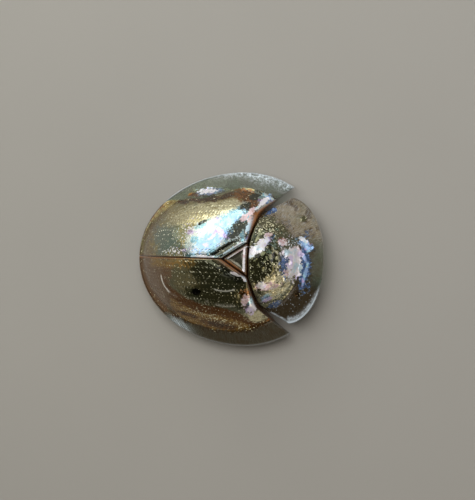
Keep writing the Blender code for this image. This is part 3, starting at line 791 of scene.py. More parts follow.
def clear_flange(paint, grain, fine):
    """Thin clear horn, slightly smoky, with radial wrinkles and a faint mesh; painted shade darkens it on the
    right, and painted highlights brighten its rim, in comb-like strokes in places.
    """
    shade = colours()
    smoke = paint.attribute("smoke")
    creased = paint.attribute("creased")
    scores = paint.value("ShaderNodeTexNoise", {"noise_dimensions": "1D"},
                         {"W": paint.attribute("run") / 0.14, "Detail": 1.0}, "Fac")
    # Painted glints in comb-like strokes on the rim
    comb = paint.attribute("comb") * scores.step(0.48, 0.56)
    radial = paint.joined(paint.attribute("turn") / 0.060, paint.attribute("reach") * 2.0)
    wrinkle = paint.value("ShaderNodeTexNoise", {"noise_dimensions": "2D"},
                          {"Vector": radial, "Detail": 2.0}, "Fac").step(0.48, 0.64) * creased
    # Painted highlight near the rim
    frost = paint.attribute("frost") * (fine - 0.05).step(0.20, 0.70)
    cloud = paint.noise(0.36, 5.0, 0.66, shift=1.7, distortion=0.5)
    lattice = paint.cells(0.13, "DISTANCE_TO_EDGE").step(0.05, 0.0)
    clear = paint.node("ShaderNodeBsdfTransparent", None, {"Color": shade.clear}).outputs[0]
    film_colour = paint.mix(shade.film, shade.horn, creased)
    film_colour = paint.mix(film_colour, shade.umber, cloud.step(0.52, 0.40) * (0.3 + creased * 0.5))
    # Painted shade: the flange darkens on the right, where the shell's shadow lies under it
    film_colour = paint.mix(film_colour, shade.smoke, smoke)
    dots = paint.cells(0.09).step(0.24, 0.10) * smoke.step(0.76, 0.95) * 0.40
    # Painted rim highlight and glints, with the pale dots of the mesh
    white = (paint.attribute("rim") * 0.6).most(frost, comb, dots)
    film = paint.surface({
        "Base Color": paint.mix(film_colour, shade.frost, white.most(wrinkle * (1 - smoke) * 0.25)),
        "Roughness": 0.10 + grain * 0.1, "Coat Weight": 1 - smoke * 0.9, "Coat Roughness": 0.04,
        "Normal": paint.bump(lattice + grain * 0.5 + wrinkle * 0.4, 0.006, 0.5)})
    gloss = paint.value("ShaderNodeLayerWeight", None, {"Blend": 0.30}, "Fresnel")
    share = gloss * 0.50 + 0.06 + creased * 0.46 + smoke * 0.90
    share = share + white * 0.9 + lattice * 0.06 + wrinkle * 0.10
    share = (share + (0.5 - cloud) * (0.8 + creased * 0.8) * (1 - smoke * 0.8)).clamped(0.04)
    return paint.node("ShaderNodeMixShader", None, {0: share, 1: clear, 2: film}).outputs[0]


def shell_paint(name, facet_size, facet_tilt, sheen_size, grit, wear):
    """Polished metal on the dome with painted reflections and glints, clear horn at the flange and brown
    walls at the seams, with painted shade in the gaps.
    """
    shade = colours()
    paint = Paint(name)
    seam = paint.attribute("seam")
    upper = paint.attribute("upper")
    pit = paint.attribute("pit")
    scratch = paint.attribute("scratch")
    spot = paint.attribute("spot")
    fine = paint.noise(grit, 4.0, 0.66, shift=9.1, distortion=0.4)
    sheen = paint.noise(sheen_size, 3.0, 0.55, shift=7.3, distortion=0.6)
    ragged = (paint.noise(0.24, 6.0, 0.70, shift=4.4, distortion=0.9) - 0.5) * 2.0 + (fine - 0.5) * wear
    flank = paint.attribute("band")
    frayed_spot = (paint.noise(0.10, 3.0, 0.6, shift=4.4) - 0.5) * 0.9 * spot.step(0.05, 0.3)
    spot = (spot + frayed_spot).step(0.35, 0.55)
    grain = paint.noise(0.05, 3.0, 0.6, shift=3.1)
    metal, bright, cover = metal_colour(paint, ragged, fine, sheen)
    sparks = (paint.attribute("spark") + ragged * 0.9).step(0.25, 0.75)
    glint = paint.attribute("shine").step(0.30, 0.75) * sparks
    # Painted shade in the pits, and painted glints on the pits picked to shine
    metal = paint.mix(metal, shade.dark_specks_and_pit_shade, pit * (1 - glint) * 0.45)
    metal = paint.mix(metal, shade.glint, glint)
    metal = paint.mix(metal, shade.spot, spot)
    # Pale arcs painted bright, mostly not metallic
    metal = paint.mix(metal, shade.scratch, scratch)
    # Painted shade in the gaps between plates, turning amber where the light catches the wall
    wall = paint.mix(shade.wall, shade.amber, paint.attribute("glow"))
    metal = paint.mix(metal, wall, seam)
    metal = paint.mix(shade.lining, metal, upper)
    metallic = upper * (1 - seam * 0.9) * (1 - pit * 0.4) * (1 - flank * 0.15) * 0.97
    metallic = metallic * (1 - scratch * 0.8) * (1 - bright * 0.75) * (1 - glint)
    rough = 0.10 + grain * 0.10 + pit * 0.2 + seam * 0.12 + scratch * 0.3 + flank * 0.10
    tilted = paint.facets(facet_size, facet_tilt)
    body = paint.surface({
        "Base Color": metal, "Metallic": metallic, "Roughness": rough,
        "Coat Weight": (0.8 - flank * 0.75) * (1 - spot), "Coat Roughness": 0.05,
        "Normal": paint.bump(grain, 0.004, 0.35, tilted)})
    disc = broken(paint, "disc", ragged * paint.attribute("frayed"), 0.20, 0.80)
    solid = disc.most(seam, cover)
    flange = clear_flange(paint, grain, fine)
    return paint.finish(paint.node("ShaderNodeMixShader", None, {0: solid, 1: flange, 2: body}).outputs[0])


def scutellum_paint():
    """Dark grey-green polished metal with amber sides, and painted highlights on its raised base and left
    side edge.
    """
    shade = colours()
    paint = Paint("scutellum_metal")
    seam = paint.attribute("seam")
    pale = paint.attribute("pale")
    cloud = paint.noise(0.3, 3.0, 0.6)
    grain = paint.noise(0.04, 3.0, 0.6)
    # Painted highlight: pale pink-white and mostly not metallic on the raised base and the left side edge
    pale = (pale + (grain - 0.5) * 0.8 * pale.step(0.05, 0.3)).step(0.30, 0.60)
    metal = paint.mix(shade.slate, shade.stone, cloud.step(0.4, 0.6))
    # Painted shade at the sides, turning amber on the right side where the light catches it
    metal = paint.mix(metal, paint.mix(shade.umber, shade.amber, paint.attribute("glow")), seam)
    metal = paint.mix(metal, paint.mix(shade.pearl, shade.rose, cloud.step(0.56, 0.70)), pale)
    return paint.finish(paint.surface({
        "Base Color": metal, "Metallic": 0.9 - seam * 0.8 - pale * 0.8 + seam * pale * 0.7,
        "Roughness": 0.14 + grain * 0.1,
        "Coat Weight": 1.0, "Coat Roughness": 0.04, "Normal": paint.bump(grain, 0.006, 0.3)}))


def horn_paint(name, colour, dark, size, gloss, sole=None):
    """Satin chitin with darker joints, fine wrinkles and small pits, and paler feet if asked."""
    paint = Paint(name)
    joint = paint.attribute("joint")
    cloud = paint.noise(size * 4, 3.0, 0.6)
    wrinkle = paint.noise(size, 4.0, 0.65, shift=2.2, distortion=0.8)
    pores = paint.cells(size * 1.6).step(0.0, 0.35)
    base = paint.mix(colour, dark, (cloud.step(0.35, 0.75) * 0.5 + joint).math("MINIMUM", 1.0))
    base = paint.mix(dark, base, 0.35 + pores * 0.65)
    if sole is not None:
        base = paint.mix(base, sole, paint.attribute("sole") * (1 - joint) * 0.9)
    return paint.finish(paint.surface({
        "Base Color": base, "Roughness": gloss + wrinkle * 0.25, "Coat Weight": 0.5,
        "Coat Roughness": 0.15, "Normal": paint.bump(wrinkle + pores, 0.010, 0.5)}))


def eye_paint():
    """Glossy black with a brown depth."""
    paint = Paint("eye_black")
    cloud = paint.noise(0.05, 2.0, 0.5)
    base = paint.mix(colours().eye, colours().iris, cloud.step(0.4, 0.8))
    return paint.finish(paint.surface({
        "Base Color": base, "Roughness": 0.12 + cloud * 0.1, "Coat Weight": 1.0, "Coat Roughness": 0.03}))


def floor_paint():
    """Plain pale floor."""
    paint = Paint("stage_floor")
    cloud = paint.noise(6.0, 2.0, 0.5)
    pale = colours().floor
    base = paint.mix(pale, tuple(value * 0.94 for value in pale), cloud)
    return paint.finish(paint.surface({"Base Color": base, "Roughness": 0.7}))


def grid_faces(rows, columns):
    """Corner numbers of the quads of a grid."""
    number = np.arange(rows * columns).reshape(rows, columns)
    quads = np.stack([number[:-1, :-1], number[1:, :-1], number[1:, 1:], number[:-1, 1:]], axis=-1)
    return quads.reshape(-1, 4)


def border_loop(rows, columns):
    """Point numbers round the edge of a grid."""
    number = np.arange(rows * columns).reshape(rows, columns)
    return np.concatenate([number[0, :-1], number[:-1, -1], number[-1, :0:-1], number[:0:-1, 0]])


def plate_mesh(name, x, y, top, under, marks):
    """Closed plate between two height fields over one grid, with numbers stored on its points.

    A number that isn't stored reads as 0 in the materials and the geometry trees.
    """
    rows, columns = x.shape
    count = rows * columns
    points = np.concatenate([np.stack([x, y, top], -1).reshape(-1, 3),
                             np.stack([x, y, under], -1).reshape(-1, 3)])
    upper = grid_faces(rows, columns)
    first = points[upper[len(upper) // 2]]
    if np.cross(first[1] - first[0], first[2] - first[0])[2] < 0:
        upper = upper[:, ::-1]
        loop = border_loop(rows, columns)
    else:
        loop = border_loop(rows, columns)[::-1]
    lower = upper[:, ::-1] + count
    following = np.roll(loop, -1)
    walls = np.stack([loop, following, following + count, loop + count], -1)
    mesh = bpy.data.meshes.new(name)
    mesh.from_pydata(points, [], np.concatenate([upper, lower, walls]))
    for mark, values in marks.items():
        layer = mesh.attributes.new(mark, "FLOAT", "POINT")
        both = np.concatenate([values.ravel(), values.ravel()])
        if mark in ("upper", "pitted"):
            both[count:] = 0.0
        layer.data.foreach_set("value", both.astype(np.float32))
    return mesh


def named_input(tree, name, kind, default=None):
    """Add a named input to a geometry tree and give back its identifier."""
    socket = tree.interface.new_socket(name, in_out="INPUT", socket_type=kind)
    if default is not None:
        socket.default_value = default
    return socket.identifier


def new_tree(name):
    """An empty geometry tree with its mesh input and output."""
    tree = bpy.data.node_groups.new(name, "GeometryNodeTree")
    tree.interface.new_socket("Geometry", in_out="INPUT", socket_type="NodeSocketGeometry")
    tree.interface.new_socket("Geometry", in_out="OUTPUT", socket_type="NodeSocketGeometry")
    return tree


def close_tree(board, geometry, material):
    """End a geometry tree in Realize Instances and Set Material."""
    real = board.node("GeometryNodeRealizeInstances", None, {"Geometry": geometry}).outputs[0]
    done = board.node("GeometryNodeSetMaterial", None, {"Geometry": real, "Material": material}).outputs[0]
    board.node("NodeGroupOutput", None, {0: done})


def field(board, name):
    """A number stored on the points, as a field."""
    settings = {"data_type": "FLOAT"}
    return board.value("GeometryNodeInputNamedAttribute", settings, {"Name": name}, "Attribute")


def random_number(board, first, second, seed):
    """A random number from 0 to 1 for each pair of whole numbers."""
    place = board.joined(first, second, seed)
    return board.value("ShaderNodeTexWhiteNoise", {"noise_dimensions": "3D"}, {"Vector": place}, "Value")


def relief_tree():
    """Geometry tree that sinks rows of pits and fine dents into a plate, along its normals."""
    tree = new_tree("shell_relief")
    names = ("Rows", "Pitch", "Pit Radius", "Pit Depth", "Dent Size", "Dent Depth", "Seed")
    keys = {name: named_input(tree, name, "NodeSocketFloat", 1.0) for name in names}
    keys["Material"] = named_input(tree, "Material", "NodeSocketMaterial")
    board = Board(tree)
    group = board.node("NodeGroupInput")
    given = {name: Value(board, group.outputs[name]) for name in names}
    row_place = field(board, "share") * given["Rows"]
    row = row_place.math("FLOOR")
    start = random_number(board, row, 3.0, given["Seed"])
    run_place = field(board, "run") / given["Pitch"] + start
    cell = run_place.math("FLOOR")
    chance = random_number(board, row, cell, given["Seed"])
    drift = random_number(board, row, cell + 0.5, given["Seed"]) - 0.5
    lane = field(board, "half_width") / given["Rows"]
    across = (row_place - row - 0.5 + drift * 0.16) * lane
    along = (run_place - cell - 0.5 + (chance - 0.5) * 0.3) * given["Pitch"]
    radius = given["Pit Radius"] * (0.75 + chance * 0.45)
    distance = (across * across + along * along).math("SQRT")
    pit = (distance / radius).bell(0.8) * field(board, "pitted")
    lip = ((distance / radius) - 1.45).bell(0.35) * field(board, "pitted")
    position = board.node("GeometryNodeInputPosition").outputs[0]
    dents, broad = (
        board.value("ShaderNodeTexVoronoi", {"feature": "SMOOTH_F1"},
                    {"Vector": position, "Scale": scale / given["Dent Size"], "Smoothness": smoothness},
                    "Distance")
        for scale, smoothness in ((1, 0.6), (0.5, 0.35)))
    dented = (dents * 0.6 + broad * 1.6 - 1.0) * given["Dent Depth"] * field(board, "dented")
    height = dented - pit * given["Pit Depth"] + lip * given["Pit Depth"] * 0.12
    height = height * field(board, "upper")
    normal = board.node("GeometryNodeInputNormal").outputs[0]
    offset = board.vector("SCALE", normal, height)
    stored = group.outputs["Geometry"]
    shine = pit * ((chance - 0.35) * 2.2).math("MAXIMUM", 0.0).math("MINIMUM", 1.0)
    for name, value in (("pit", pit), ("shine", shine)):
        stored = board.node("GeometryNodeStoreNamedAttribute", {"data_type": "FLOAT", "domain": "POINT"},
                            {"Geometry": stored, "Name": name, "Value": value}).outputs[0]
    moved = board.node("GeometryNodeSetPosition", None, {"Geometry": stored, "Offset": offset}).outputs[0]
    close_tree(board, moved, group.outputs["Material"])
    return tree, keys


def add_object(name, data):
    """A new object in the scene."""
    item = bpy.data.objects.new(name, data)
    bpy.context.collection.objects.link(item)
    return item


def evaluated_mesh(carrier):
    """The plain mesh that an object's modifiers make; the object is removed."""
    graph = bpy.context.evaluated_depsgraph_get()
    mesh = bpy.data.meshes.new_from_object(carrier.evaluated_get(graph))
    bpy.data.objects.remove(carrier)
    return mesh


def run_tree(name, mesh, tree, keys, inputs):
    """Run a geometry tree on a mesh and give back the plain result."""
    carrier = add_object(name, mesh)
    modifier = carrier.modifiers.new("nodes", "NODES")
    modifier.node_group = tree
    for key, value in inputs.items():
        modifier[keys[key]] = value
    result = evaluated_mesh(carrier)
    bpy.data.meshes.remove(mesh)
    return result


def place_piece(name, mesh, nodes, material=None, sharp=60):
    """Turn a mesh in millimetres into a finished piece that stands for CAD nodes."""
    mesh.name = name
    mesh.transform(Matrix.Scale(MM, 4))
    mesh.shade_smooth()
    mesh.set_sharp_from_angle(angle=math.radians(sharp))
    if material is not None:
        mesh.materials.clear()
        mesh.materials.append(material)
    piece = add_object(name, mesh)
    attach(piece, "root")
    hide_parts(*nodes)
    return piece


def relief_inputs(material, rows, pitch, dent_size, dent_depth, seed):
    """Inputs of the relief tree, in millimetres."""
    size = sizes()
    return {"Rows": float(rows), "Pitch": pitch, "Pit Radius": size.puncture_radius / MM,
            "Pit Depth": size.puncture_depth / MM, "Dent Size": dent_size, "Dent Depth": dent_depth,
            "Seed": float(seed), "Material": material}


def solve_fronts(shares):
    """x where each line of a fixed share of the half width meets the front edge."""
    low = np.full(shares.shape, BASE_X - SCUTELLUM_LENGTH - GAP)
    high = np.full(shares.shape, LENGTH / 2)
    for _ in range(45):
        middle = (low + high) / 2
        behind = middle < wing_front(shares * rim_half_width(middle))
        low = np.where(behind, middle, low)
        high = np.where(behind, high, middle)
    return low


def wing_grid():
    """x, y and share over the left wing case, from its front edge to the apex."""
    inner = dense_steps(WING_COLUMNS, 8, 0.03)
    shares = 1 - dense_steps(WING_COLUMNS, 10, 0.04)[::-1]
    shares = np.where(inner < 0.5, inner, shares)
    shares = np.sort(shares)
    fronts = solve_fronts(shares)
    tail_rows = 4
    last_x = RIM_X - RIM_REAR * math.sin(math.radians(86))
    steps = dense_steps(WING_ROWS, 14, 0.045)
    eased = (steps * 0.7 + 0.3 * np.sin(np.pi / 2 * steps))[:, None]
    x = fronts + (last_x - fronts) * eased
    y = SUTURE / 2 + shares * (rim_half_width(x) - SUTURE / 2)
    tail_y = y[-1]
    arc_x = RIM_X - RIM_REAR * np.sqrt(1 - (tail_y / RIM_SIDE) ** 2)
    tail = [last_x + (arc_x - last_x) * (step + 1) / tail_rows for step in range(tail_rows)]
    x = np.concatenate([x, np.array(tail)])
    y = np.concatenate([y, np.repeat(tail_y[None], tail_rows, 0)])
    return x, y, np.repeat(shares[None], len(x), 0)


def patch_marks(patches, x, y):
    """Strength of each painted reflection tint over the plan, from its ovals."""
    marks = {tint: np.zeros(x.shape) for tint in (*TINTS, *SPECKS)}
    for patch in patches:
        turn = math.radians(patch.turn)
        along = (x - patch.x) * math.cos(turn) + (y - patch.y) * math.sin(turn)
        across = (y - patch.y) * math.cos(turn) - (x - patch.x) * math.sin(turn)
        oval = bump(np.hypot(along / patch.length, across / patch.width), 1.2)
        marks[patch.tint] = np.maximum(marks[patch.tint], oval)
    return marks


def wall_share(y):
    """1 where the front wall of a wing case is widest, beside the shoulder."""
    return bump(y - 1.45, 0.42)


def pale_arcs(x, y):
    """Fine pale arcs on the right wing case, in the plan."""
    mark = np.zeros(x.shape)
    for arc in PALE_ARCS:
        away = np.hypot(x - arc.x, y - arc.y) - arc.radius
        turn = np.degrees(np.arctan2(y - arc.y, x - arc.x)) % 360
        along = smooth_step(turn, arc.start, arc.start + 8) * smooth_step(turn, arc.end, arc.end - 8)
        mark = np.maximum(mark, bump(away, 0.024) * along * arc.bright)
    return mark


def wing_relief(x, y):
    """Height of the wing case's top with its rounded edges, beads, shoulder knob and swell."""
    slope = slope_of(wing_front, y)
    from_front = (wing_front(y) - x) / np.hypot(1.0, slope)
    from_suture = y - SUTURE / 2
    from_rim = rim_distance(x, y)
    reach = dome_reach(WING_DOME, x, y)
    notch = smooth_step(y, SCUTELLUM_SIDE + 0.16, SCUTELLUM_SIDE + 0.02)
    shoulder = bump(x - 1.08, 0.24) * bump(y - 1.62, 0.26)
    dip = bump(x - 0.78, 0.22) * bump(y - 1.28, 0.24)
    top = wing_top(x, y)
    top += 0.075 * shoulder - 0.035 * dip
    top += 0.009 * undulation(x, y) * smooth_step(reach, 1.0, 0.85)
    top += (0.030 * bump(from_front - 0.10, 0.055) - 0.020 * bump(from_front - 0.22, 0.06)) * notch
    top += 0.016 * bump(from_rim - 0.05, 0.03)
    top -= 0.015 * bump(reach - 1.03, 0.018)
    top -= rounded_edge(from_suture, 0.04)
    top -= rounded_edge(from_front, 0.06 + 0.09 * wall_share(y))
    top -= rounded_edge(from_rim, 0.06)
    return top, from_front, from_suture, from_rim, reach


def disc_edge(x, side):
    """Reach at which the metal of a wing case ends."""
    edge = DISC_EDGE + 0.03
    if side > 0:
        edge = edge - DISC_WAIST * bump(x + 0.70, 0.80)
    return edge + (DISC_EDGE_REAR - edge) * smooth_step(x, -1.7, -2.5)


def flank_band(x, reach, side):
    """Where the flank is orange-brown, partly its own bronze and partly a painted reflection of the brown
    ground, and where it has painted gold reflection streaks.
    """
    edge = disc_edge(x, side)
    if side > 0:
        thin = 0.006 + 0.026 * smooth_step(x, -1.2, -2.0)
        return bump(reach - edge + thin * 0.8, thin) * 0.5, np.zeros(x.shape)
    start = 0.655 + 0.17 * np.where(x > -0.1, ((x + 0.1) / 0.9) ** 2, 0.25 * ((x + 0.1) / 1.6) ** 2)
    start = np.minimum(start, 0.95)
    band = smooth_step(reach, start, start + 0.06) * (1 - 0.8 * smooth_step(x, -1.6, -2.3))
    streak = smooth_step(reach, start + 0.11, start + 0.19) * smooth_step(reach, edge + 0.02, edge - 0.05)
    return band, streak * smooth_step(x, -2.1, -1.7) * 0.8


def spark_zone(x, y, reach, side):
    """Where the pits of a wing case get painted glints instead of painted shade."""
    if side > 0:
        return bump(np.hypot((x + 1.95) / 0.75, (y - 0.72) / 0.60), 1.0)
    zone = smooth_step(reach, 0.84, 0.64) * smooth_step(x, -2.1, -1.6)
    return zone * (0.20 + 0.42 * smooth_step(x, 0.2, -0.8))


def wing_case_mesh(side):
    """Dense mesh of one wing case with its marks, before the pits are sunk."""
    x, y, share = wing_grid()
    top, from_front, from_suture, from_rim, reach = wing_relief(x, y)
    under = wing_under(x, y) + rounded_edge(from_rim, 0.05)
    half = rim_half_width(x)
    lane = share * (half / RIM_SIDE) ** (1 - share)
    steps = np.sqrt(np.diff(x, axis=0) ** 2 + np.diff(y, axis=0) ** 2 + np.diff(top, axis=0) ** 2)
    run = np.concatenate([np.zeros((1, x.shape[1])), np.cumsum(steps, axis=0)])
    edge = disc_edge(x, side)
    left = 1.0 if side > 0 else 0.0
    # Painted reflection colour: silver metal with shallower pits where the key light's reflection falls, on
    # the left wing case only
    cool = smooth_step(1.74 + 0.6 * x - y, -0.1, 0.3) * smooth_step(x, -1.4, -0.95) * left
    pitted = smooth_step(reach, 1.03, 0.97) * smooth_step(half, 0.9, 1.6)
    pitted = pitted * smooth_step(from_front, 0.12, 0.22) * smooth_step(from_suture, 0.03, 0.09)
    wall = wall_share(y) * left
    # Painted comb-like glints at the rear of the right rim
    comb = bump(x + 1.75, 0.40) * (1 - left)
    notch = smooth_step(y, SCUTELLUM_SIDE + 0.10, SCUTELLUM_SIDE)
    seam = np.maximum(bump(from_suture, 0.022 + 0.022 * smooth_step(x, -0.8, -2.0)),
                      bump(from_front, 0.028 + 0.10 * wall + 0.07 * notch * (1 - left)))
    seam = seam * smooth_step(reach, edge + 0.04, edge - 0.04)
    # Painted highlight on the raised bead beside the scutellum, laid in as a pearl mark
    if side > 0:
        bead = bump(from_front - 0.08, 0.024) * notch * smooth_step(y, 0.10, 0.22)
    else:
        bead = 1.6 * bump(from_front - 0.13 + 0.09 * smooth_step(y, 0.48, 0.68), 0.055)
        bead = bead * smooth_step(y, 0.38, 0.48) * smooth_step(y, 0.78, 0.70)
    # Flank band: partly the shell's own bronze edge, partly a painted reflection of the brown ground, wide on
    # the right, with painted gold streaks
    band, streak = flank_band(x, reach, side)
    beside_suture = smooth_step(x, -2.9, -2.4) * smooth_step(x, -0.5, -1.0) * bump(y - 0.14, 0.22)
    streak = np.maximum(streak, beside_suture * (1 - left))
    place = SPOT_LEFT if side > 0 else SPOT_RIGHT
    spot = bump(np.hypot((x - place[0]) * 0.75, y * side - place[1]), 0.14 - 0.08 * left)
    # Zone of the painted highlight near the rim of the left wing case
    glow = bump(from_rim, 0.16 + 0.16 * smooth_step(x, 0.2, 1.0)) * smooth_step(x, -1.2, 0.2)
    right = 1 - left
    # Painted reflection: the rear slope turns mauve, unevenly on the two sides
    rear = smooth_step(x + (0.3 * y - 0.24) * right, -1.8 + 0.3 * right, -2.7 + 0.6 * right)
    rear = rear * (0.9 - 0.4 * left)
    # Painted reflection ovals
    marks = patch_marks(WING_PATCHES, x, y * side)
    # the bead's painted highlight
    marks["pearl"] = np.maximum(marks["pearl"], bead)
    marks.update({
        "disc": smooth_step(reach, edge + 0.08 - 0.06 * left, edge - 0.08 + 0.06 * left),
        "frayed": np.full(x.shape, 1.0 - 0.6 * left),
        "frost": left * glow,
        "reach": reach,
        "turn": np.arctan2(y, x),
        "creased": np.full(x.shape, 0.3),
        "band": band,
        "streak": streak,
        # painted shade under the flange of the right wing case
        "smoke": 0.12 + (1 - left) * 0.64 * smooth_step(x, -2.0, -0.7),
        # amber share of the walls, most on the left front wall, where the light catches it
        "glow": 0.12 + 0.85 * np.maximum(wall, 0.38 * smooth_step(y, 0.50, 0.35) * notch * (1 - left)),
        "seam": np.clip(seam, 0.0, 1.0),
        # painted rim highlight, stronger on the left
        "rim": bump(from_rim - 0.02, 0.030) * (0.35 + 0.65 * left),
        "comb": comb * smooth_step(from_rim, 0.40, 0.10),
        # where pits get painted glints
        "spark": spark_zone(x, y, reach, side),
        "rear": rear,
        "cool": cool,
        # painted dark reflection, on the right wing case only
        "dull": 0.82 * (1 - left) * (1 - 0.5 * beside_suture),
        "spot": spot * (0.75 + 0.25 * (1 - left)),
        "upper": np.ones(x.shape),
        "share": lane,
        "half_width": np.gradient(y, axis=1) / np.gradient(lane, axis=1),
        "run": run,
        "pitted": pitted * (1 - 0.75 * cool),
        "dented": smooth_step(reach, 1.05, 0.95),
    })
    if side < 0:
        marks["scratch"] = pale_arcs(x, y)
    return plate_mesh("wing_case", x, y * side, top, under, marks)


def shield_grid():
    """x and y over the pronotum, from its base to its front rim."""
    half = SHIELD_SIDE - 0.012
    turn = np.linspace(-1.0, 1.0, SHIELD_COLUMNS)
    y = half * (0.45 * turn + 0.55 * np.sin(np.pi / 2 * turn))
    back = base_line(y) + GAP * np.hypot(1.0, slope_of(base_line, y))
    corner = CORNER_X + GAP + CORNER_SLOPE * (np.abs(y) - CORNER_Y)
    back = smooth_max(back, corner, CORNER_BLEND)
    front = SHIELD_X + SHIELD_FRONT * np.sqrt(1 - (y / SHIELD_SIDE) ** 2)
    steps = dense_steps(SHIELD_ROWS, 12, 0.05)
    steps = np.sort(np.where(steps < 0.5, steps, 1 - dense_steps(SHIELD_ROWS, 12, 0.05)[::-1]))
    x = back + (front - back) * steps[:, None]
    return x, np.repeat(y[None], len(steps), 0), back, front


def pronotum_mesh():
    """Dense mesh of the shield with its marks."""
    x, y, back, front = shield_grid()
    reach = dome_reach(SHIELD_DOME, x, y)
    from_base = (x - back) / np.hypot(1.0, slope_of(base_line, y))
    outward = np.hypot((x - SHIELD_X) / SHIELD_FRONT, y / SHIELD_SIDE)
    ahead = x > SHIELD_X
    from_front = np.where(ahead, (1 - outward) * SHIELD_FRONT, SHIELD_SIDE - np.abs(y))
    from_rim = np.minimum(from_front, (front - x))
    from_rim = np.maximum(from_rim, 0.0)
    corner = smooth_step(np.abs(y), 1.70, 1.85)
    from_edge = np.minimum(from_rim, np.where(corner > 0.5, from_base, from_rim))
    top = shield_top(x, y)
    top += 0.006 * undulation(x * 1.3, y * 1.3) * smooth_step(reach, 1.05, 0.85)
    top += 0.018 * bump(reach - 1.015, 0.03) * smooth_step(y, 1.0, 0.4)
    top -= 0.02 * bump(from_base - 0.16, 0.06) * smooth_step(np.abs(y), 1.7, 1.3)
    top += 0.018 * bump(from_edge - 0.06, 0.035)
    top -= rounded_edge(from_base, 0.05) - rounded_edge(from_rim, 0.07)
    under = shield_under(x, y) + rounded_edge(from_rim, 0.06)
    along = np.cumsum(np.hypot(np.diff(y[0], prepend=y[0][0]), np.diff(back, prepend=back[0])))
    # Painted reflection ovals
    marks = patch_marks(SHIELD_PATCHES, x, y)
    # Painted shade under the shield's flange, on the right front
    shaded_side = smooth_step(y + 0.35 * (x - 2.4), -0.3, -0.9)
    upper_side = smooth_step(y, 0.55, 1.05)
    marks.update({
        "disc": smooth_step(reach, 1.03 + 0.02 * upper_side, 0.99 - 0.16 * upper_side),
        "frayed": 0.2 + 1.3 * upper_side,
        # painted highlight near the rim, on the right side
        "frost": 0.6 * bump(from_edge - 0.06, 0.055) * smooth_step(y, -0.9, -1.5),
        "reach": reach,
        "turn": np.arctan2(y, x - BASE_X),
        "creased": 0.05 + 0.35 * smooth_step(y, -0.9, -0.3) + 0.6 * smooth_step(y, 0.4, 1.0),
        "smoke": 0.12 + 0.83 * shaded_side,
        "seam": bump(from_base, 0.025) * smooth_step(np.abs(y), 1.9, 1.6),
        # painted rim highlight, stronger on the right
        "rim": bump(from_edge - 0.02, 0.04) * (0.12 + 0.88 * smooth_step(y, -0.7, -1.3)),
        # painted dark reflection over the whole shield
        "dull": np.full(x.shape, 0.85),
        # painted glints on the row of pits by the base
        "spark": 0.9 * bump(from_base - 0.08, 0.10),
        "upper": np.ones(x.shape),
        "share": from_base / 0.16,
        "half_width": np.full(x.shape, 0.16),
        "run": np.repeat(along[None], len(x), 0),
        "pitted": smooth_step(from_base, 0.17, 0.15) * smooth_step(np.abs(y), 1.5, 1.2),
        "dented": smooth_step(reach, 1.04, 0.96),
    })
    return plate_mesh("pronotum", x, y, top, under, marks)


def scutellum_mesh():
    """Triangle with raised sides and a raised base edge."""
    rows = 60
    columns = 60
    tip = BASE_X - SCUTELLUM_LENGTH + 0.12
    base = BASE_X + 0.005
    steps = np.linspace(0.0, 1.0, rows)
    across = np.linspace(-1.0, 1.0, columns)
    across = 0.5 * across + 0.5 * np.sin(np.pi / 2 * across)
    x = np.repeat((tip + (base - tip) * steps)[:, None], columns, 1)
    side = SCUTELLUM_SIDE * (x - BASE_X + SCUTELLUM_LENGTH) / SCUTELLUM_LENGTH - GAP
    y = across * side
    tilt = math.hypot(1.0, SCUTELLUM_SIDE / SCUTELLUM_LENGTH)
    from_side = (side - np.abs(y)) / tilt
    from_base = base - x
    edge = np.minimum(from_side, from_base)
    top = wing_top(x, y) - 0.045
    top += 0.018 * bump(from_side - 0.055, 0.035) + 0.045 * smooth_step(from_base, 0.17, 0.05)
    top -= rounded_edge(edge, 0.05)
    top -= 0.02 * smooth_step(edge, 0.05, 0.2)
    right_side = smooth_step(y, 0.0, -0.05)
    marks = {
        "seam": np.maximum(bump(from_side, 0.03 + 0.05 * right_side), bump(from_base, 0.02)),
        # amber share of the side walls, on the right side
        "glow": 0.25 + 0.6 * right_side * smooth_step(x, base - 0.05, base - 0.4),
        # painted highlights on the raised base and the left side edge
        "pale": np.maximum(bump(from_base - 0.075, 0.045) * smooth_step(from_side, 0.03, 0.09),
                           0.8 * bump(from_side - 0.075, 0.02) * smooth_step(y, 0.0, 0.03)),
    }
    return plate_mesh("scutellum", x, y, top, wing_under(x, y), marks)


def spline(stations, count):
    """Smooth run of rows of numbers through the given rows."""
    rows = np.array(stations, float)
    padded = np.concatenate([2 * rows[:1] - rows[1:2], rows, 2 * rows[-1:] - rows[-2:-1]])
    place = np.linspace(0, len(rows) - 1, count)
    number = np.minimum(place.astype(int), len(rows) - 2)
    t = (place - number)[:, None]
    a, b, c, d = (padded[number + step] for step in range(4))
    return b + 0.5 * t * (c - a + t * (2 * a - 5 * b + 4 * c - d + t * (3 * (b - c) + d - a)))


def unit(vectors):
    """Vectors of length 1."""
    return vectors / np.linalg.norm(vectors, axis=-1, keepdims=True)


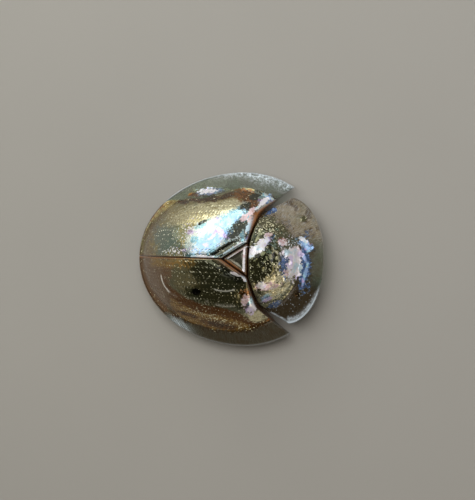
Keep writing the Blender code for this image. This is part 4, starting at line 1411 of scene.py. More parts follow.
def tube(centres, across, above, first_pole, last_pole, sides):
    """Points and faces of a closed tube; each ring is centre + across * cos + above * sin."""
    turn = np.linspace(0, 2 * np.pi, sides, endpoint=False)[None, :, None]
    rings = centres[:, None] + across[:, None] * np.cos(turn) + above[:, None] * np.sin(turn)
    count = len(centres)
    points = np.concatenate([rings.reshape(-1, 3), [first_pole], [last_pole]])
    number = np.arange(count * sides).reshape(count, sides)
    beside = np.roll(number, -1, axis=1)
    quads = np.stack([number[:-1], beside[:-1], beside[1:], number[1:]], -1).reshape(-1, 4)
    faces = quads.tolist()
    faces += [[a, count * sides, b] for a, b in zip(number[0], beside[0])]
    faces += [[a, b, count * sides + 1] for a, b in zip(number[-1], beside[-1])]
    return points, faces


def limb(stations, count=40):
    """Closed round-ended limb through rows of x, y, z, radius."""
    run = spline(stations, count)
    centres = run[:, :3]
    radii = np.maximum(run[:, 3:], 0.004)
    along = unit(np.gradient(centres, axis=0))
    across = unit(np.cross(along, (0.02, 0.01, 1.0)))
    above = np.cross(across, along)
    caps = np.radians((18, 36, 54, 72))[:, None]
    start = centres[0] - along[0] * radii[0] * np.cos(caps)
    end = (centres[-1] + along[-1] * radii[-1] * np.cos(caps))[::-1]
    centres = np.concatenate([start, centres, end])
    widths = np.concatenate([radii[0] * np.sin(caps), radii, (radii[-1] * np.sin(caps))[::-1]])
    rings = [0] * 4 + list(range(count)) + [count - 1] * 4
    across = across[rings] * widths
    above = above[rings] * widths
    first = run[0, :3] - along[0] * radii[0]
    last = run[-1, :3] + along[-1] * radii[-1]
    return tube(centres, across, above, first, last, LIMB_SIDES)


def ellipsoid(centre, radii, sides=28, rings=16, heading=(1.0, 0.0)):
    """Closed ellipsoid whose first radius points along a heading in the plan."""
    centre = np.array(centre, float)
    ahead = np.array((heading[0], heading[1], 0.0)) * radii[0]
    beside = np.array((-heading[1], heading[0], 0.0)) * radii[1]
    above = np.array((0.0, 0.0, radii[2]))
    lift = np.linspace(-np.pi / 2, np.pi / 2, rings + 2)[1:-1, None]
    return tube(centre + above * np.sin(lift), ahead * np.cos(lift), beside * np.cos(lift),
                centre - above, centre + above, sides)


def shape_mesh(name, parts):
    """One mesh with outward faces from points and faces of several closed shapes."""
    points = []
    faces = []
    start = 0
    for part_points, part_faces in parts:
        points.append(part_points)
        faces += [[corner + start for corner in face] for face in part_faces]
        start += len(part_points)
    mesh = bpy.data.meshes.new(name)
    mesh.from_pydata(np.concatenate(points), [], faces)
    builder = bmesh.new()
    builder.from_mesh(mesh)
    bmesh.ops.recalc_face_normals(builder, faces=builder.faces)
    builder.to_mesh(mesh)
    builder.free()
    return mesh


def fuse(name, parts, grain, rounds):
    """Fuse overlapping closed shapes into one surface with soft joints."""
    carrier = add_object(name, shape_mesh(name, parts))
    weld = carrier.modifiers.new("weld", "REMESH")
    weld.mode = "VOXEL"
    weld.voxel_size = grain
    soften = carrier.modifiers.new("soften", "SMOOTH")
    soften.iterations = rounds
    return evaluated_mesh(carrier)


def mesh_points(mesh):
    """Points of a mesh as an array."""
    flat = np.empty(len(mesh.vertices) * 3, np.float32)
    mesh.vertices.foreach_get("co", flat)
    return flat.reshape(-1, 3).astype(float)


def move_points(mesh, points):
    """Put a mesh's points in new places."""
    mesh.vertices.foreach_set("co", points.astype(np.float32).ravel())
    mesh.update()


def mark_mesh(mesh, name, values):
    """Store a number on each point of a mesh."""
    layer = mesh.attributes.get(name) or mesh.attributes.new(name, "FLOAT", "POINT")
    layer.data.foreach_set("value", np.asarray(values, np.float32))


def near(points, places, radius):
    """1 close to any of the places, 0 away from them."""
    mark = np.zeros(len(points))
    for place in places:
        mark = np.maximum(mark, bump(np.linalg.norm(points - np.array(place), axis=1), radius))
    return mark


def mirrored(point, side):
    """The same point on the left side (1) or the right side (-1)."""
    return np.array((point[0], side * point[1], point[2]))


def body_grid(start, end, half_width, rows, columns):
    """x and y over a belly plate from one x to another."""
    x = np.repeat(np.linspace(start, end, rows)[:, None], columns, 1)
    across = np.linspace(-1.0, 1.0, columns)
    return x, half_width(x) * (0.7 * across + 0.3 * np.sin(np.pi / 2 * across))


def sockets(x, y, coxae):
    """Raised rings and hollows round the roots of the legs, in millimetres of height."""
    height = np.zeros(x.shape)
    for place in coxae:
        distance = np.hypot(x - place[0], np.abs(y) - place[1])
        height += 0.05 * bump(distance, 0.17) - 0.022 * bump(distance - 0.27, 0.035)
    return height


def pitting(x, y, spacing, depth):
    """Scattered small pits, from a warped lattice."""
    u = x / spacing + 0.31 * np.sin(y * 5.1)
    v = y / spacing + 0.31 * np.sin(x * 4.3) + 0.5 * (np.floor(u) % 2)
    distance = np.hypot(u - np.floor(u) - 0.5, v - np.floor(v) - 0.5)
    return depth * bump(distance, 0.24)


def prothorax_mesh():
    """Belly plate under the shield, with its keel between the front legs."""
    def half_width(x):
        return PROTHORAX_SIDE * (1 - 0.25 * ((x - BASE_X) / (PROTHORAX_FRONT - BASE_X)) ** 2)

    x, y = body_grid(BASE_X + BODY_GAP, PROTHORAX_FRONT, half_width, 70, 120)
    beside = np.abs(y) / half_width(x)
    belly = BELLY_Z - 0.05 * bump(y, 0.12) + sockets(x, y, [LEGS["leg_front"].coxa])
    belly += pitting(x, y, 0.06, 0.008) + 0.05 * smooth_step(beside, 0.9, 1.0)
    belly += rounded_edge(x - BASE_X - BODY_GAP, 0.05) + rounded_edge(PROTHORAX_FRONT - x, 0.07)
    line = np.maximum(bump(np.abs(y) - 0.78, 0.02), bump(np.abs(y) - 0.16, 0.015))
    return plate_mesh("prothorax", x, y, shield_under(x, y) - BODY_GAP, belly + 0.012 * line, {"joint": line})


def thorax_mesh():
    """Middle and hind belly plates, with the sockets of four legs and their seams."""
    start = WAIST_X + BODY_GAP
    end = BASE_X - BODY_GAP / 2

    def half_width(x):
        return THORAX_SIDE * (1 - 0.13 * ((x - start) / (end - start)) ** 2)

    x, y = body_grid(start, end, half_width, 130, 170)
    side = np.abs(y)
    coxae = [LEGS["leg_middle"].coxa, LEGS["leg_hind"].coxa]
    plate_seam = bump(x - 0.20 - 0.05 * np.cos(4 * y), 0.022) * smooth_step(side, 1.32, 1.25)
    side_seam = bump(side - 1.30 - 0.06 * x, 0.02)
    front_seam = bump(x - 0.86 + 0.08 * side, 0.018) * smooth_step(side, 1.3, 1.2)
    middle_seam = bump(y, 0.014) * smooth_step(x, 0.16, 0.10)
    line = np.maximum.reduce([plate_seam, side_seam, front_seam, middle_seam])
    belly = BELLY_Z + 0.03 * line - 0.03 * bump(y, 0.15) + sockets(x, y, coxae)
    belly += pitting(x, y, 0.065, 0.009) * smooth_step(side, 0.2, 0.7)
    belly += 0.06 * smooth_step(side / half_width(x), 0.92, 1.0)
    belly += rounded_edge(x - start, 0.05) + rounded_edge(end - x, 0.05)
    return plate_mesh("thorax", x, y, wing_under(x, y) - BODY_GAP, belly, {"joint": line})


def abdomen_mesh():
    """Five overlapping belly plates with dark sutures and a row of breathing holes on each side."""
    rear = WING_HOLLOW.rear * ABDOMEN_REACH
    side_reach = WING_HOLLOW.side * ABDOMEN_SIDE
    end = WING_HOLLOW.centre - rear * math.sin(math.radians(84))
    plate = (end - WAIST_X) / STERNITES

    def half_width(x):
        return side_reach * np.sqrt(1 - ((WING_HOLLOW.centre - x) / rear) ** 2)

    x, y = body_grid(WAIST_X, end, half_width, 190, 150)
    side = np.abs(y)
    beside = side / half_width(x)
    bent = x - 0.05 * np.cos(1.2 * y)
    place = (bent - WAIST_X) / plate
    share = np.clip(place - np.floor(place), 0.0, 1.0)
    lip = smooth_step(share, 0.0, 0.06) * smooth_step(1 - share, 0.0, 0.10)
    suture = 1 - lip
    belly = BELLY_Z + 0.04 - STERNITE_STEP * share * lip + 0.02 * suture
    belly += pitting(x, y, 0.07, 0.008) * lip
    hole = bump(np.hypot((share - 0.45) * plate, side - 0.84 * half_width(x)), 0.03)
    edge = bump(beside - 0.90, 0.012)
    belly += 0.02 * hole + 0.02 * edge + 0.05 * smooth_step(beside, 0.94, 1.0)
    line = np.maximum.reduce([suture * 0.8, hole, edge])
    return plate_mesh("abdomen", x, y, wing_under(x, y) - BODY_GAP, belly, {"joint": line})


def head_parts():
    """Closed shapes of the head: skull, brow, clypeus, lip, jaws, feelers' sockets and palps."""
    parts = [
        ellipsoid(HEAD, (0.32, 0.50, 0.31)),
        ellipsoid(HEAD + (0.15, 0, 0.03), (0.19, 0.27, 0.21)),
        limb([(*(HEAD + (0.16, 0, 0.0)), 0.19), (*(HEAD + (0.20, 0, -0.12)), 0.17),
              (*(HEAD + (0.20, 0, -0.21)), 0.12)]),
        ellipsoid(HEAD + (0.25, 0, -0.25), (0.07, 0.12, 0.045)),
    ]
    for side in (1, -1):
        def row(x, y, z, radius):
            return (*(HEAD + (x, side * y, z)), radius)

        parts.append(limb([row(0.20, 0.14, -0.20, 0.06), row(0.28, 0.11, -0.27, 0.045),
                           row(0.30, 0.03, -0.31, 0.02)]))
        parts.append(limb([row(0.14, 0.19, -0.20, 0.045), row(0.18, 0.20, -0.27, 0.035)]))
        parts.append(limb([row(0.19, 0.20, -0.29, 0.045), row(0.24, 0.17, -0.33, 0.045)]))
        parts.append(limb([row(0.26, 0.15, -0.345, 0.045), row(0.30, 0.11, -0.36, 0.025)]))
        parts.append(ellipsoid(HEAD + (0.28, side * 0.17, -0.04), (0.07, 0.085, 0.085)))
        parts.append(limb([row(-0.05, 0.44, 0.20, 0.05), row(0.12, 0.42, 0.20, 0.05),
                           row(0.16, 0.38, 0.08, 0.05)]))
    return parts


def head_mesh():
    """The head, kept below the shield, with darker jaws and sockets."""
    mesh = fuse("head", head_parts(), GRAIN, 2)
    points = mesh_points(mesh)
    roof = shield_under(points[:, 0], points[:, 1]) - BODY_GAP
    points[:, 2] = np.minimum(points[:, 2], roof)
    x, y, z = (points - HEAD).T
    groove = bump(y, 0.02) * smooth_step(x, 0.15, 0.25) * smooth_step(z, 0.0, 0.1)
    points[:, 0] -= 0.015 * groove
    move_points(mesh, points)
    dark = np.maximum(smooth_step(z, -0.20, -0.30) * 0.7, groove)
    mark_mesh(mesh, "joint", np.maximum(dark, near(points, [mirrored(HEAD + (0.3, 0.17, -0.04), side)
                                                            for side in (1, -1)], 0.06)))
    return mesh


def facet_tree():
    """Geometry tree that raises a small lens round each of many evenly spread points."""
    tree = new_tree("eye_facets")
    keys = {name: named_input(tree, name, "NodeSocketFloat", 1.0) for name in ("Spacing", "Height", "Seed")}
    keys["Material"] = named_input(tree, "Material", "NodeSocketMaterial")
    board = Board(tree)
    group = board.node("NodeGroupInput")
    shape = group.outputs["Geometry"]
    given = {name: Value(board, group.outputs[name]) for name in ("Spacing", "Height", "Seed")}
    density = 4.0 / (given["Spacing"] ** 2.0)
    spread = board.node("GeometryNodeDistributePointsOnFaces", {"distribute_method": "POISSON"},
                        {"Mesh": shape, "Distance Min": given["Spacing"], "Density Max": density,
                         "Seed": given["Seed"]}).outputs["Points"]
    distance = board.value("GeometryNodeProximity", {"target_element": "POINTS"}, {0: spread}, "Distance")
    reach = (distance / (given["Spacing"] * 0.72)).math("MINIMUM", 1.0)
    lens = (1 - reach * reach) * given["Height"]
    normal = board.node("GeometryNodeInputNormal").outputs[0]
    offset = board.vector("SCALE", normal, lens)
    moved = board.node("GeometryNodeSetPosition", None, {"Geometry": shape, "Offset": offset}).outputs[0]
    close_tree(board, moved, group.outputs["Material"])
    return tree, keys


def bead_mesh():
    """Antenna segment of length and radius 1: narrow root, wide rounded end, along +Z."""
    heights = np.array((0.02, 0.10, 0.25, 0.45, 0.65, 0.80, 0.90, 0.96))
    widths = np.array((0.34, 0.42, 0.66, 0.88, 0.99, 0.97, 0.80, 0.52))
    run = spline(np.stack([heights, widths], 1), 22)
    centres = np.zeros((len(run), 3))
    centres[:, 2] = run[:, 0] - 0.5
    across = np.zeros((len(run), 3))
    across[:, 0] = run[:, 1]
    above = np.zeros((len(run), 3))
    above[:, 1] = run[:, 1]
    part = tube(centres, across, above, (0, 0, -0.5), (0, 0, 0.48), 24)
    mesh = shape_mesh("bead", [part])
    points = mesh_points(mesh)
    mark_mesh(mesh, "joint", smooth_step(points[:, 2], -0.28, -0.48))
    return mesh


def antenna_tree():
    """Geometry tree that strings growing segments along a curve and sets fine hairs on the club."""
    tree = new_tree("antenna")
    names = ("Root", "Root Pull", "Tip Pull", "Tip")
    keys = {name: named_input(tree, name, "NodeSocketVector") for name in names}
    for name in ("Segments", "Shaft", "Club", "Club Start", "Overlap", "Hair", "Hair Density"):
        keys[name] = named_input(tree, name, "NodeSocketFloat", 1.0)
    keys["Material"] = named_input(tree, "Material", "NodeSocketMaterial")
    board = Board(tree)
    group = board.node("NodeGroupInput")

    def given(name):
        return Value(board, group.outputs[name])

    curve = board.node("GeometryNodeCurvePrimitiveBezierSegment", {"mode": "POSITION"},
                       {"Resolution": 64, "Start": given("Root"), "Start Handle": given("Root Pull"),
                        "End Handle": given("Tip Pull"), "End": given("Tip")}).outputs[0]
    index = Value(board, board.node("GeometryNodeInputIndex").outputs[0])
    factor = (index + 0.5) / given("Segments")
    sample = board.node("GeometryNodeSampleCurve", {"mode": "FACTOR", "use_all_curves": True},
                        {"Curves": curve, "Factor": factor})
    points = board.node("GeometryNodePoints", None,
                        {"Count": given("Segments"), "Position": sample.outputs["Position"]}).outputs[0]
    turn = board.node("FunctionNodeAlignRotationToVector", {"axis": "Z"},
                      {"Vector": sample.outputs["Tangent"]}).outputs[0]
    whole = board.value("GeometryNodeCurveLength", None, {0: curve}, 0)
    length = whole / given("Segments") * given("Overlap")
    grown = ((index - given("Club Start")) / 3.5).math("MAXIMUM", 0.0).math("MINIMUM", 1.0)
    radius = given("Shaft") + (given("Club") - given("Shaft")) * grown
    radius = radius * (1 - ((index - given("Segments") + 1.0).math("COMPARE", 0.0, 0.1)) * 0.18)
    scale = board.joined(radius, radius, length)
    beads = board.node("GeometryNodeInstanceOnPoints", None,
                       {"Points": points, "Instance": group.outputs["Geometry"], "Rotation": turn,
                        "Scale": scale}).outputs[0]
    body = board.node("GeometryNodeRealizeInstances", None, {0: beads}).outputs[0]
    hairs = hair_branch(board, body, None, given("Hair Density"), given("Hair"), 3)
    both = board.node("GeometryNodeJoinGeometry")
    tree.links.new(body, both.inputs[0])
    tree.links.new(hairs, both.inputs[0])
    close_tree(board, both.outputs[0], group.outputs["Material"])
    return tree, keys


def hair_branch(board, shape, where, density, length, seed):
    """Fine tapering hairs that lean off a surface, as instances on scattered points."""
    values = {"Mesh": shape, "Density": density, "Seed": seed}
    if where is not None:
        values["Density"] = density * where
    scattered = board.node("GeometryNodeDistributePointsOnFaces", {"distribute_method": "RANDOM"}, values)
    lean = board.vector("ADD", scattered.outputs["Normal"], random_vector(board, seed))
    turn = board.node("FunctionNodeAlignRotationToVector", {"axis": "Z"}, {"Vector": lean}).outputs[0]
    hair = board.node("GeometryNodeMeshCone", None,
                      {"Vertices": 4, "Side Segments": 1, "Fill Segments": 1, "Radius Top": HAIR_TIP,
                       "Radius Bottom": HAIR_ROOT, "Depth": 1.0}).outputs[0]
    size = random_number(board, Value(board, board.node("GeometryNodeInputIndex").outputs[0]), 0.5, 7.0)
    scale = board.joined(1.0, 1.0, length * (size * 0.6 + 0.7))
    return board.node("GeometryNodeInstanceOnPoints", None,
                      {"Points": scattered.outputs["Points"], "Instance": hair, "Rotation": turn,
                       "Scale": scale}).outputs[0]


def random_vector(board, seed):
    """A random direction for each point, of length up to about 0.9."""
    settings = {"data_type": "FLOAT_VECTOR"}
    values = {0: (-0.5, -0.5, -0.5), 1: (0.5, 0.5, 0.5), "Seed": seed}
    return board.node("FunctionNodeRandomValue", settings, values).outputs[0]


def hair_tree():
    """Geometry tree that adds hairs where the number called hairy is high."""
    tree = new_tree("hairs")
    keys = {name: named_input(tree, name, "NodeSocketFloat", 1.0) for name in ("Density", "Length")}
    keys["Material"] = named_input(tree, "Material", "NodeSocketMaterial")
    board = Board(tree)
    group = board.node("NodeGroupInput")
    shape = group.outputs["Geometry"]
    hairs = hair_branch(board, shape, field(board, "hairy"), Value(board, group.outputs["Density"]),
                        Value(board, group.outputs["Length"]), 5)
    both = board.node("GeometryNodeJoinGeometry")
    tree.links.new(shape, both.inputs[0])
    tree.links.new(hairs, both.inputs[0])
    close_tree(board, both.outputs[0], group.outputs["Material"])
    return tree, keys


def leg_parts(leg, side):
    """Closed shapes of one leg and the places of its joints."""
    coxa = mirrored((*leg.coxa, COXA_Z + 0.04), side)
    knee = mirrored((*leg.knee, KNEE_Z), side)
    ankle = mirrored((*leg.ankle, ANKLE_Z), side)
    tip = mirrored((*leg.tip, 0.0), side)
    root = coxa + (knee - coxa) * 0.24
    middle = coxa + (knee - coxa) * 0.55
    middle[2] = FEMUR_Z
    parts = [
        ellipsoid(coxa, (COXA_RADIUS, COXA_RADIUS, COXA_RADIUS * 0.95)),
        limb([(*(root + (0, 0, -0.03)), 0.10), (*(root * 0.8 + middle * 0.2), 0.13)]),
        limb([(*(root * 0.8 + middle * 0.2), 0.11), (*(root * 0.3 + middle * 0.7), FEMUR_RADIUS * 0.94),
              (*middle, FEMUR_RADIUS), (*(middle * 0.45 + knee * 0.55), FEMUR_RADIUS * 0.82),
              (*(middle * 0.1 + knee * 0.9), KNEE_RADIUS)]),
        ellipsoid(knee, (KNEE_RADIUS * 1.08,) * 3),
        limb([(*knee, 0.085), (*(knee * 0.75 + ankle * 0.25), 0.105), (*(knee * 0.4 + ankle * 0.6), 0.135),
              (*(knee * 0.15 + ankle * 0.85), 0.145), (*(knee * 0.02 + ankle * 0.98), 0.10)]),
    ]
    start = ankle * (1, 1, 0)
    heading = unit(tip - start)
    across = np.array((-heading[1], heading[0], 0.0))
    stride = np.linalg.norm(tip - start) / LOBES
    joints = [root, knee, ankle]
    for number in range(LOBES):
        centre = start + heading * stride * (number + 0.35)
        shrink = 1 - 0.14 * number
        length = stride * 0.62
        width = LOBE_WIDTH * shrink
        height = LOBE_HEIGHT * shrink
        spread = width * (0.42 if number == LOBES - 1 else 0.2)
        for turn in (1, -1):
            place = centre + across * spread * turn + (0, 0, height * 0.30)
            parts.append(ellipsoid(place, (length, width * 0.72, height * 0.62), heading=heading[:2]))
        parts.append(limb([(*(centre - heading * stride * 0.55 + (0, 0, 0.11)), 0.06),
                           (*(centre + (0, 0, 0.10)), 0.08)], count=12))
        joints.append(centre - heading * stride * 0.55 + (0, 0, 0.10))
    root_claw = tip - heading * 0.20 + (0, 0, 0.13)
    parts.append(limb([(*(root_claw - heading * 0.10), 0.045), (*(root_claw + heading * 0.07), 0.060)],
                      count=12))
    for turn in (1, -1):
        base = root_claw + heading * 0.06
        bend = base + heading * CLAW_LENGTH * 0.45 + across * turn * CLAW_LENGTH * 0.38 + (0, 0, 0.015)
        point = base + heading * CLAW_LENGTH * 0.80 + across * turn * CLAW_LENGTH * 0.42 + (0, 0, -0.075)
        parts.append(limb([(*base, CLAW_RADIUS * 1.1), (*bend, CLAW_RADIUS * 0.8), (*point, 0.010)],
                          count=20))
    claws = [root_claw + heading * (0.10 + 0.05 * step) for step in range(3)]
    return parts, joints, claws


def leg_mesh(leg, side):
    """One leg in one surface, flat-soled, with darker joints and claws."""
    parts, joints, claws = leg_parts(leg, side)
    mesh = fuse("leg", parts, GRAIN, 3)
    points = mesh_points(mesh)
    points[:, 2] = np.where(points[:, 2] < 0.012, 0.0, points[:, 2])
    points[:, 2] = np.minimum(points[:, 2], BELLY_Z - 0.01)
    move_points(mesh, points)
    dark = np.maximum(near(points, joints, 0.085) * 0.85, near(points, claws, 0.10))
    mark_mesh(mesh, "joint", dark)
    start = mirrored((*leg.ankle, 0.0), side)
    tip = mirrored((*leg.tip, 0.0), side)
    pads = [start + (tip - start) * t for t in (0.1, 0.3, 0.5, 0.7)]
    mark_mesh(mesh, "sole", np.minimum(1.0, 1.5 * near(points, pads, 0.26)))
    low = smooth_step(points[:, 2], 0.20, 0.06) * smooth_step(points[:, 2], 0.0, 0.02)
    shin = near(points, [joints[1] * (1 - t) + joints[2] * t for t in (0.55, 0.75, 0.95)], 0.16)
    mark_mesh(mesh, "hairy", np.maximum(low, shin * 0.35))
    return mesh


def antenna_inputs(side, material):
    """Inputs of the antenna tree for one side."""
    root, root_pull, tip_pull, tip = (tuple(mirrored(point, side)) for point in ANTENNA_CURVE)
    return {"Root": root, "Root Pull": root_pull, "Tip Pull": tip_pull, "Tip": tip,
            "Segments": float(ANTENNA_SEGMENTS), "Shaft": ANTENNA_SHAFT, "Club": ANTENNA_CLUB,
            "Club Start": 5.0, "Overlap": 1.10, "Hair": 0.05, "Hair Density": 260.0, "Material": material}


def keep_above_floor(mesh):
    """Lift what hangs below the floor onto it."""
    points = mesh_points(mesh)
    points[:, 2] = np.maximum(points[:, 2], 0.0)
    move_points(mesh, points)
    return mesh


class BEETLE_OT_wing_cases(bpy.types.Operator):
    """Build the two wing cases with their rows of pits"""

    bl_idname = "beetle.wing_cases"
    bl_label = "Wing Cases"

    def execute(self, context):
        tree, keys = relief_tree()
        material = shell_paint("shell_gold", 0.10, 0.05, 0.62, 0.075, 1.4)
        size = sizes()
        for word, side in SIDES:
            inputs = relief_inputs(material, size.puncture_rows, size.puncture_pitch / MM,
                                   size.hammer_size / MM, size.hammer_depth / MM * 0.14, 11 + side)
            mesh = run_tree("wing_case", wing_case_mesh(side), tree, keys, inputs)
            place_piece(f"wing_case_{word}", mesh, [f"elytron_{word}"])
        return {"FINISHED"}


class BEETLE_OT_pronotum(bpy.types.Operator):
    """Build the hammered shield over the head"""

    bl_idname = "beetle.pronotum"
    bl_label = "Pronotum"

    def execute(self, context):
        tree, keys = relief_tree()
        material = shell_paint("shield_gold", 0.13, 0.30, 0.42, 0.11, 1.2)
        size = sizes()
        inputs = relief_inputs(material, 1, 0.11, size.hammer_size / MM, size.hammer_depth / MM, 5)
        mesh = run_tree("pronotum", pronotum_mesh(), tree, keys, inputs)
        place_piece("pronotum_shield", mesh, ["pronotum"])
        return {"FINISHED"}


class BEETLE_OT_scutellum(bpy.types.Operator):
    """Build the triangle between the wing cases"""

    bl_idname = "beetle.scutellum"
    bl_label = "Scutellum"

    def execute(self, context):
        place_piece("scutellum_plate", scutellum_mesh(), ["scutellum"], scutellum_paint())
        return {"FINISHED"}


class BEETLE_OT_belly(bpy.types.Operator):
    """Build the plates of the body under the shell"""

    bl_idname = "beetle.belly"
    bl_label = "Belly Plates"

    def execute(self, context):
        shade = colours()
        material = horn_paint("belly_chitin", shade.underside, shade.suture, 0.035, 0.22)
        place_piece("belly_prothorax", prothorax_mesh(), ["prothorax_underside"], material)
        place_piece("belly_thorax", thorax_mesh(), ["thorax"], material)
        place_piece("belly_abdomen", abdomen_mesh(), ["abdomen"], material)
        return {"FINISHED"}


class BEETLE_OT_head(bpy.types.Operator):
    """Build the head and its two faceted eyes"""

    bl_idname = "beetle.head"
    bl_label = "Head and Eyes"

    def execute(self, context):
        skin = horn_paint("head_chitin", colours().head, colours().jaw, 0.022, 0.20)
        place_piece("head_capsule", head_mesh(), ["head"], skin)
        tree, keys = facet_tree()
        lens = eye_paint()
        for word, side in SIDES:
            ball = shape_mesh("eye", [ellipsoid(mirrored(EYE, side), EYE_RADII * 0.98, 110, 80)])
            inputs = {"Spacing": FACET, "Height": 0.006, "Seed": 4.0, "Material": lens}
            mesh = run_tree("eye", ball, tree, keys, inputs)
            place_piece(f"compound_eye_{word}", mesh, [f"eye_{word}"])
        return {"FINISHED"}


class BEETLE_OT_antennae(bpy.types.Operator):
    """Build the two segmented antennae along their curves"""

    bl_idname = "beetle.antennae"
    bl_label = "Antennae"

    def execute(self, context):
        tree, keys = antenna_tree()
        skin = horn_paint("antenna_horn", colours().leg, colours().ring, 0.02, 0.24)
        for word, side in SIDES:
            mesh = run_tree("antenna", bead_mesh(), tree, keys, antenna_inputs(side, skin))
            place_piece(f"feeler_{word}", mesh, [f"antenna_{word}"])
        return {"FINISHED"}


class BEETLE_OT_legs(bpy.types.Operator):
    """Build the six legs with lobed feet, claws and fine hairs"""

    bl_idname = "beetle.legs"
    bl_label = "Legs"

    def execute(self, context):
        tree, keys = hair_tree()
        shade = colours()
        skin = horn_paint("leg_horn", shade.leg, shade.knee, 0.028, 0.24, shade.foot)
        inputs = {"Density": LEG_HAIRS, "Length": LEG_HAIR, "Material": skin}
        for name, leg in LEGS.items():
            for word, side in SIDES:
                mesh = keep_above_floor(run_tree("leg", leg_mesh(leg, side), tree, keys, inputs))
                place_piece(f"limb_{name[4:]}_{word}", mesh, [f"{name}_{word}"])
        return {"FINISHED"}


class BEETLE_OT_stage(bpy.types.Operator):
    """Set the floor, the soft lights and the camera"""

    bl_idname = "beetle.stage"
    bl_label = "Stage"

    def execute(self, context):
        make_floor()
        make_lights()
        make_camera()
        return {"FINISHED"}


def make_floor():
    """A wide plain floor."""
    mesh = bpy.data.meshes.new("floor")
    half = FLOOR_HALF
    mesh.from_pydata([(-half, -half, 0), (half, -half, 0), (half, half, 0), (-half, half, 0)],
                     [], [(0, 1, 2, 3)])
    mesh.materials.append(floor_paint())
    floor = add_object("floor", mesh)


def direction(zenith, azimuth):
    """Unit vector at an angle from the vertical, turned from +X towards +Y."""
    tilt = math.radians(zenith)
    turn = math.radians(azimuth)
    return Vector((math.sin(tilt) * math.cos(turn), math.sin(tilt) * math.sin(turn), math.cos(tilt)))


def add_light(name, start, end, width, radiance, colour, in_gloss=True):
    """A soft box seen from the beetle as a band between two directions, width in degrees."""
    middle = (start + end).normalized()
    along = (end - start).normalized()
    light = bpy.data.lights.new(name, "AREA")
    light.shape = "RECTANGLE"
    light.size = 2 * LIGHT_DISTANCE * math.tan(start.angle(end) / 2)
    light.size_y = 2 * LIGHT_DISTANCE * math.tan(math.radians(width) / 2)
    light.energy = radiance * math.pi * light.size * light.size_y
    light.color = colour
    item = bpy.data.objects.new(name, light)
    matrix = Matrix((along, middle.cross(along), middle)).transposed().to_4x4()
    matrix.translation = middle * LIGHT_DISTANCE + LIGHT_CENTRE
    item.matrix_world = matrix
    item.visible_glossy = in_gloss
    item.visible_camera = False
    bpy.context.collection.objects.link(item)


def make_lights():
    """Soft boxes round the beetle, a fill that gives no reflection, and a dim world."""
    add_light("key_left", direction(30, 166), direction(90, 88), 32, 1.08, (0.92, 0.98, 1.0))
    add_light("key_halo", direction(24, 175), direction(90, 84), 62, 0.64, (0.95, 0.98, 1.0))
    add_light("rear_left", direction(76, 112), direction(76, 156), 48, 0.75, (1.0, 0.95, 0.74))
    add_light("rear", direction(74, 156), direction(74, 184), 44, 0.30, (0.92, 1.0, 0.90))
    add_light("rear_right", direction(72, 184), direction(72, 226), 40, 0.30, (1.0, 0.84, 0.68))
    add_light("front_right", direction(76, -72), direction(76, -36), 22, 1.3, (1.0, 0.86, 0.70))
    add_light("front", direction(78, -26), direction(78, 18), 16, 1.7, (1.0, 0.93, 0.98))
    add_light("front_left", direction(74, 24), direction(74, 56), 18, 1.1, (0.55, 0.74, 1.0))
    add_light("above_front", direction(25, 14), direction(32, 54), 18, 1.6, (1.0, 1.0, 0.98))
    add_light("fill_above", direction(22, 40), direction(22, 140), 40, 3.1, (1.0, 1.0, 1.0), False)
    world = bpy.data.worlds.new("studio")
    world.use_nodes = True
    background = world.node_tree.nodes["Background"]
    background.inputs["Color"].default_value = (*colours().world, 1.0)
    background.inputs["Strength"].default_value = 1.0
    bpy.context.scene.world = world
    bpy.context.scene.view_settings.view_transform = "Standard"


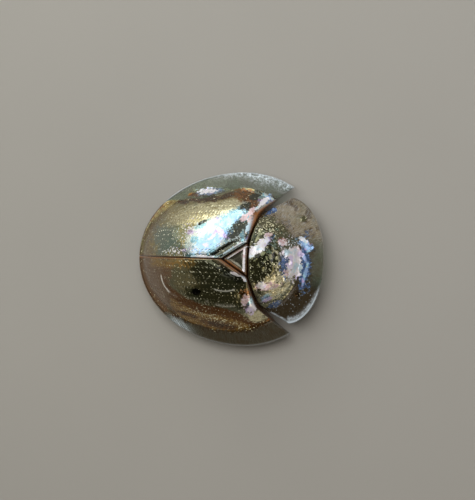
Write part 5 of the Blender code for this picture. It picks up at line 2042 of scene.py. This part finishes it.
def make_camera():
    """The camera at the picture's angle, above and a little in front of the head."""
    stage = bpy.context.scene.beetle_stage
    back = Vector((math.sin(stage.azimuth) * math.cos(stage.elevation),
                   -math.cos(stage.azimuth) * math.cos(stage.elevation),
                   math.sin(stage.elevation)))
    up = Vector((0, 1, 0))
    right = up.cross(back)
    turned_up = up * math.cos(stage.roll) - right * math.sin(stage.roll)
    turned_right = turned_up.cross(back)
    data = bpy.data.cameras.new("camera")
    data.sensor_width = 36.0
    data.lens = data.sensor_width * stage.distance / stage.picture_side
    data.clip_start = 0.001
    data.clip_end = 5.0
    camera = add_object("camera", data)
    matrix = Matrix((turned_right, turned_up, back)).transposed().to_4x4()
    matrix.translation = LOOKED_AT + back * stage.distance
    camera.matrix_world = matrix
    bpy.context.scene.camera = camera


class BEETLE_PT_panel(bpy.types.Panel):
    """Panel that lists the beetle's pieces."""

    bl_idname = "BEETLE_PT_panel"
    bl_label = "Golden Tortoise Beetle"
    bl_space_type = "VIEW_3D"
    bl_region_type = "UI"
    bl_category = "Beetle"

    def draw(self, context):
        for operator in OPERATORS:
            self.layout.operator(operator.bl_idname)
        for group in (context.scene.beetle_sizes, context.scene.beetle_colours, context.scene.beetle_stage):
            box = self.layout.box()
            for name in group.__annotations__:
                box.prop(group, name)


GROUPS = (BeetleSizes, BeetleColours, BeetleStage)
OPERATORS = (BEETLE_OT_wing_cases, BEETLE_OT_pronotum, BEETLE_OT_scutellum, BEETLE_OT_belly, BEETLE_OT_head,
             BEETLE_OT_antennae, BEETLE_OT_legs, BEETLE_OT_stage)


def register():
    """Register the classes and hang the settings on the scene."""
    for item in GROUPS + OPERATORS + (BEETLE_PT_panel,):
        bpy.utils.register_class(item)
    bpy.types.Scene.beetle_sizes = bpy.props.PointerProperty(type=BeetleSizes)
    bpy.types.Scene.beetle_colours = bpy.props.PointerProperty(type=BeetleColours)
    bpy.types.Scene.beetle_stage = bpy.props.PointerProperty(type=BeetleStage)


def unregister():
    """Take the settings and the classes away again."""
    del bpy.types.Scene.beetle_sizes
    del bpy.types.Scene.beetle_colours
    del bpy.types.Scene.beetle_stage
    for item in reversed(GROUPS + OPERATORS + (BEETLE_PT_panel,)):
        bpy.utils.unregister_class(item)


def main():
    """Build every piece and the stage."""
    register()
    for operator in OPERATORS:
        getattr(bpy.ops.beetle, operator.bl_idname.split(".")[1])()


if __name__ == "__main__":
    main()
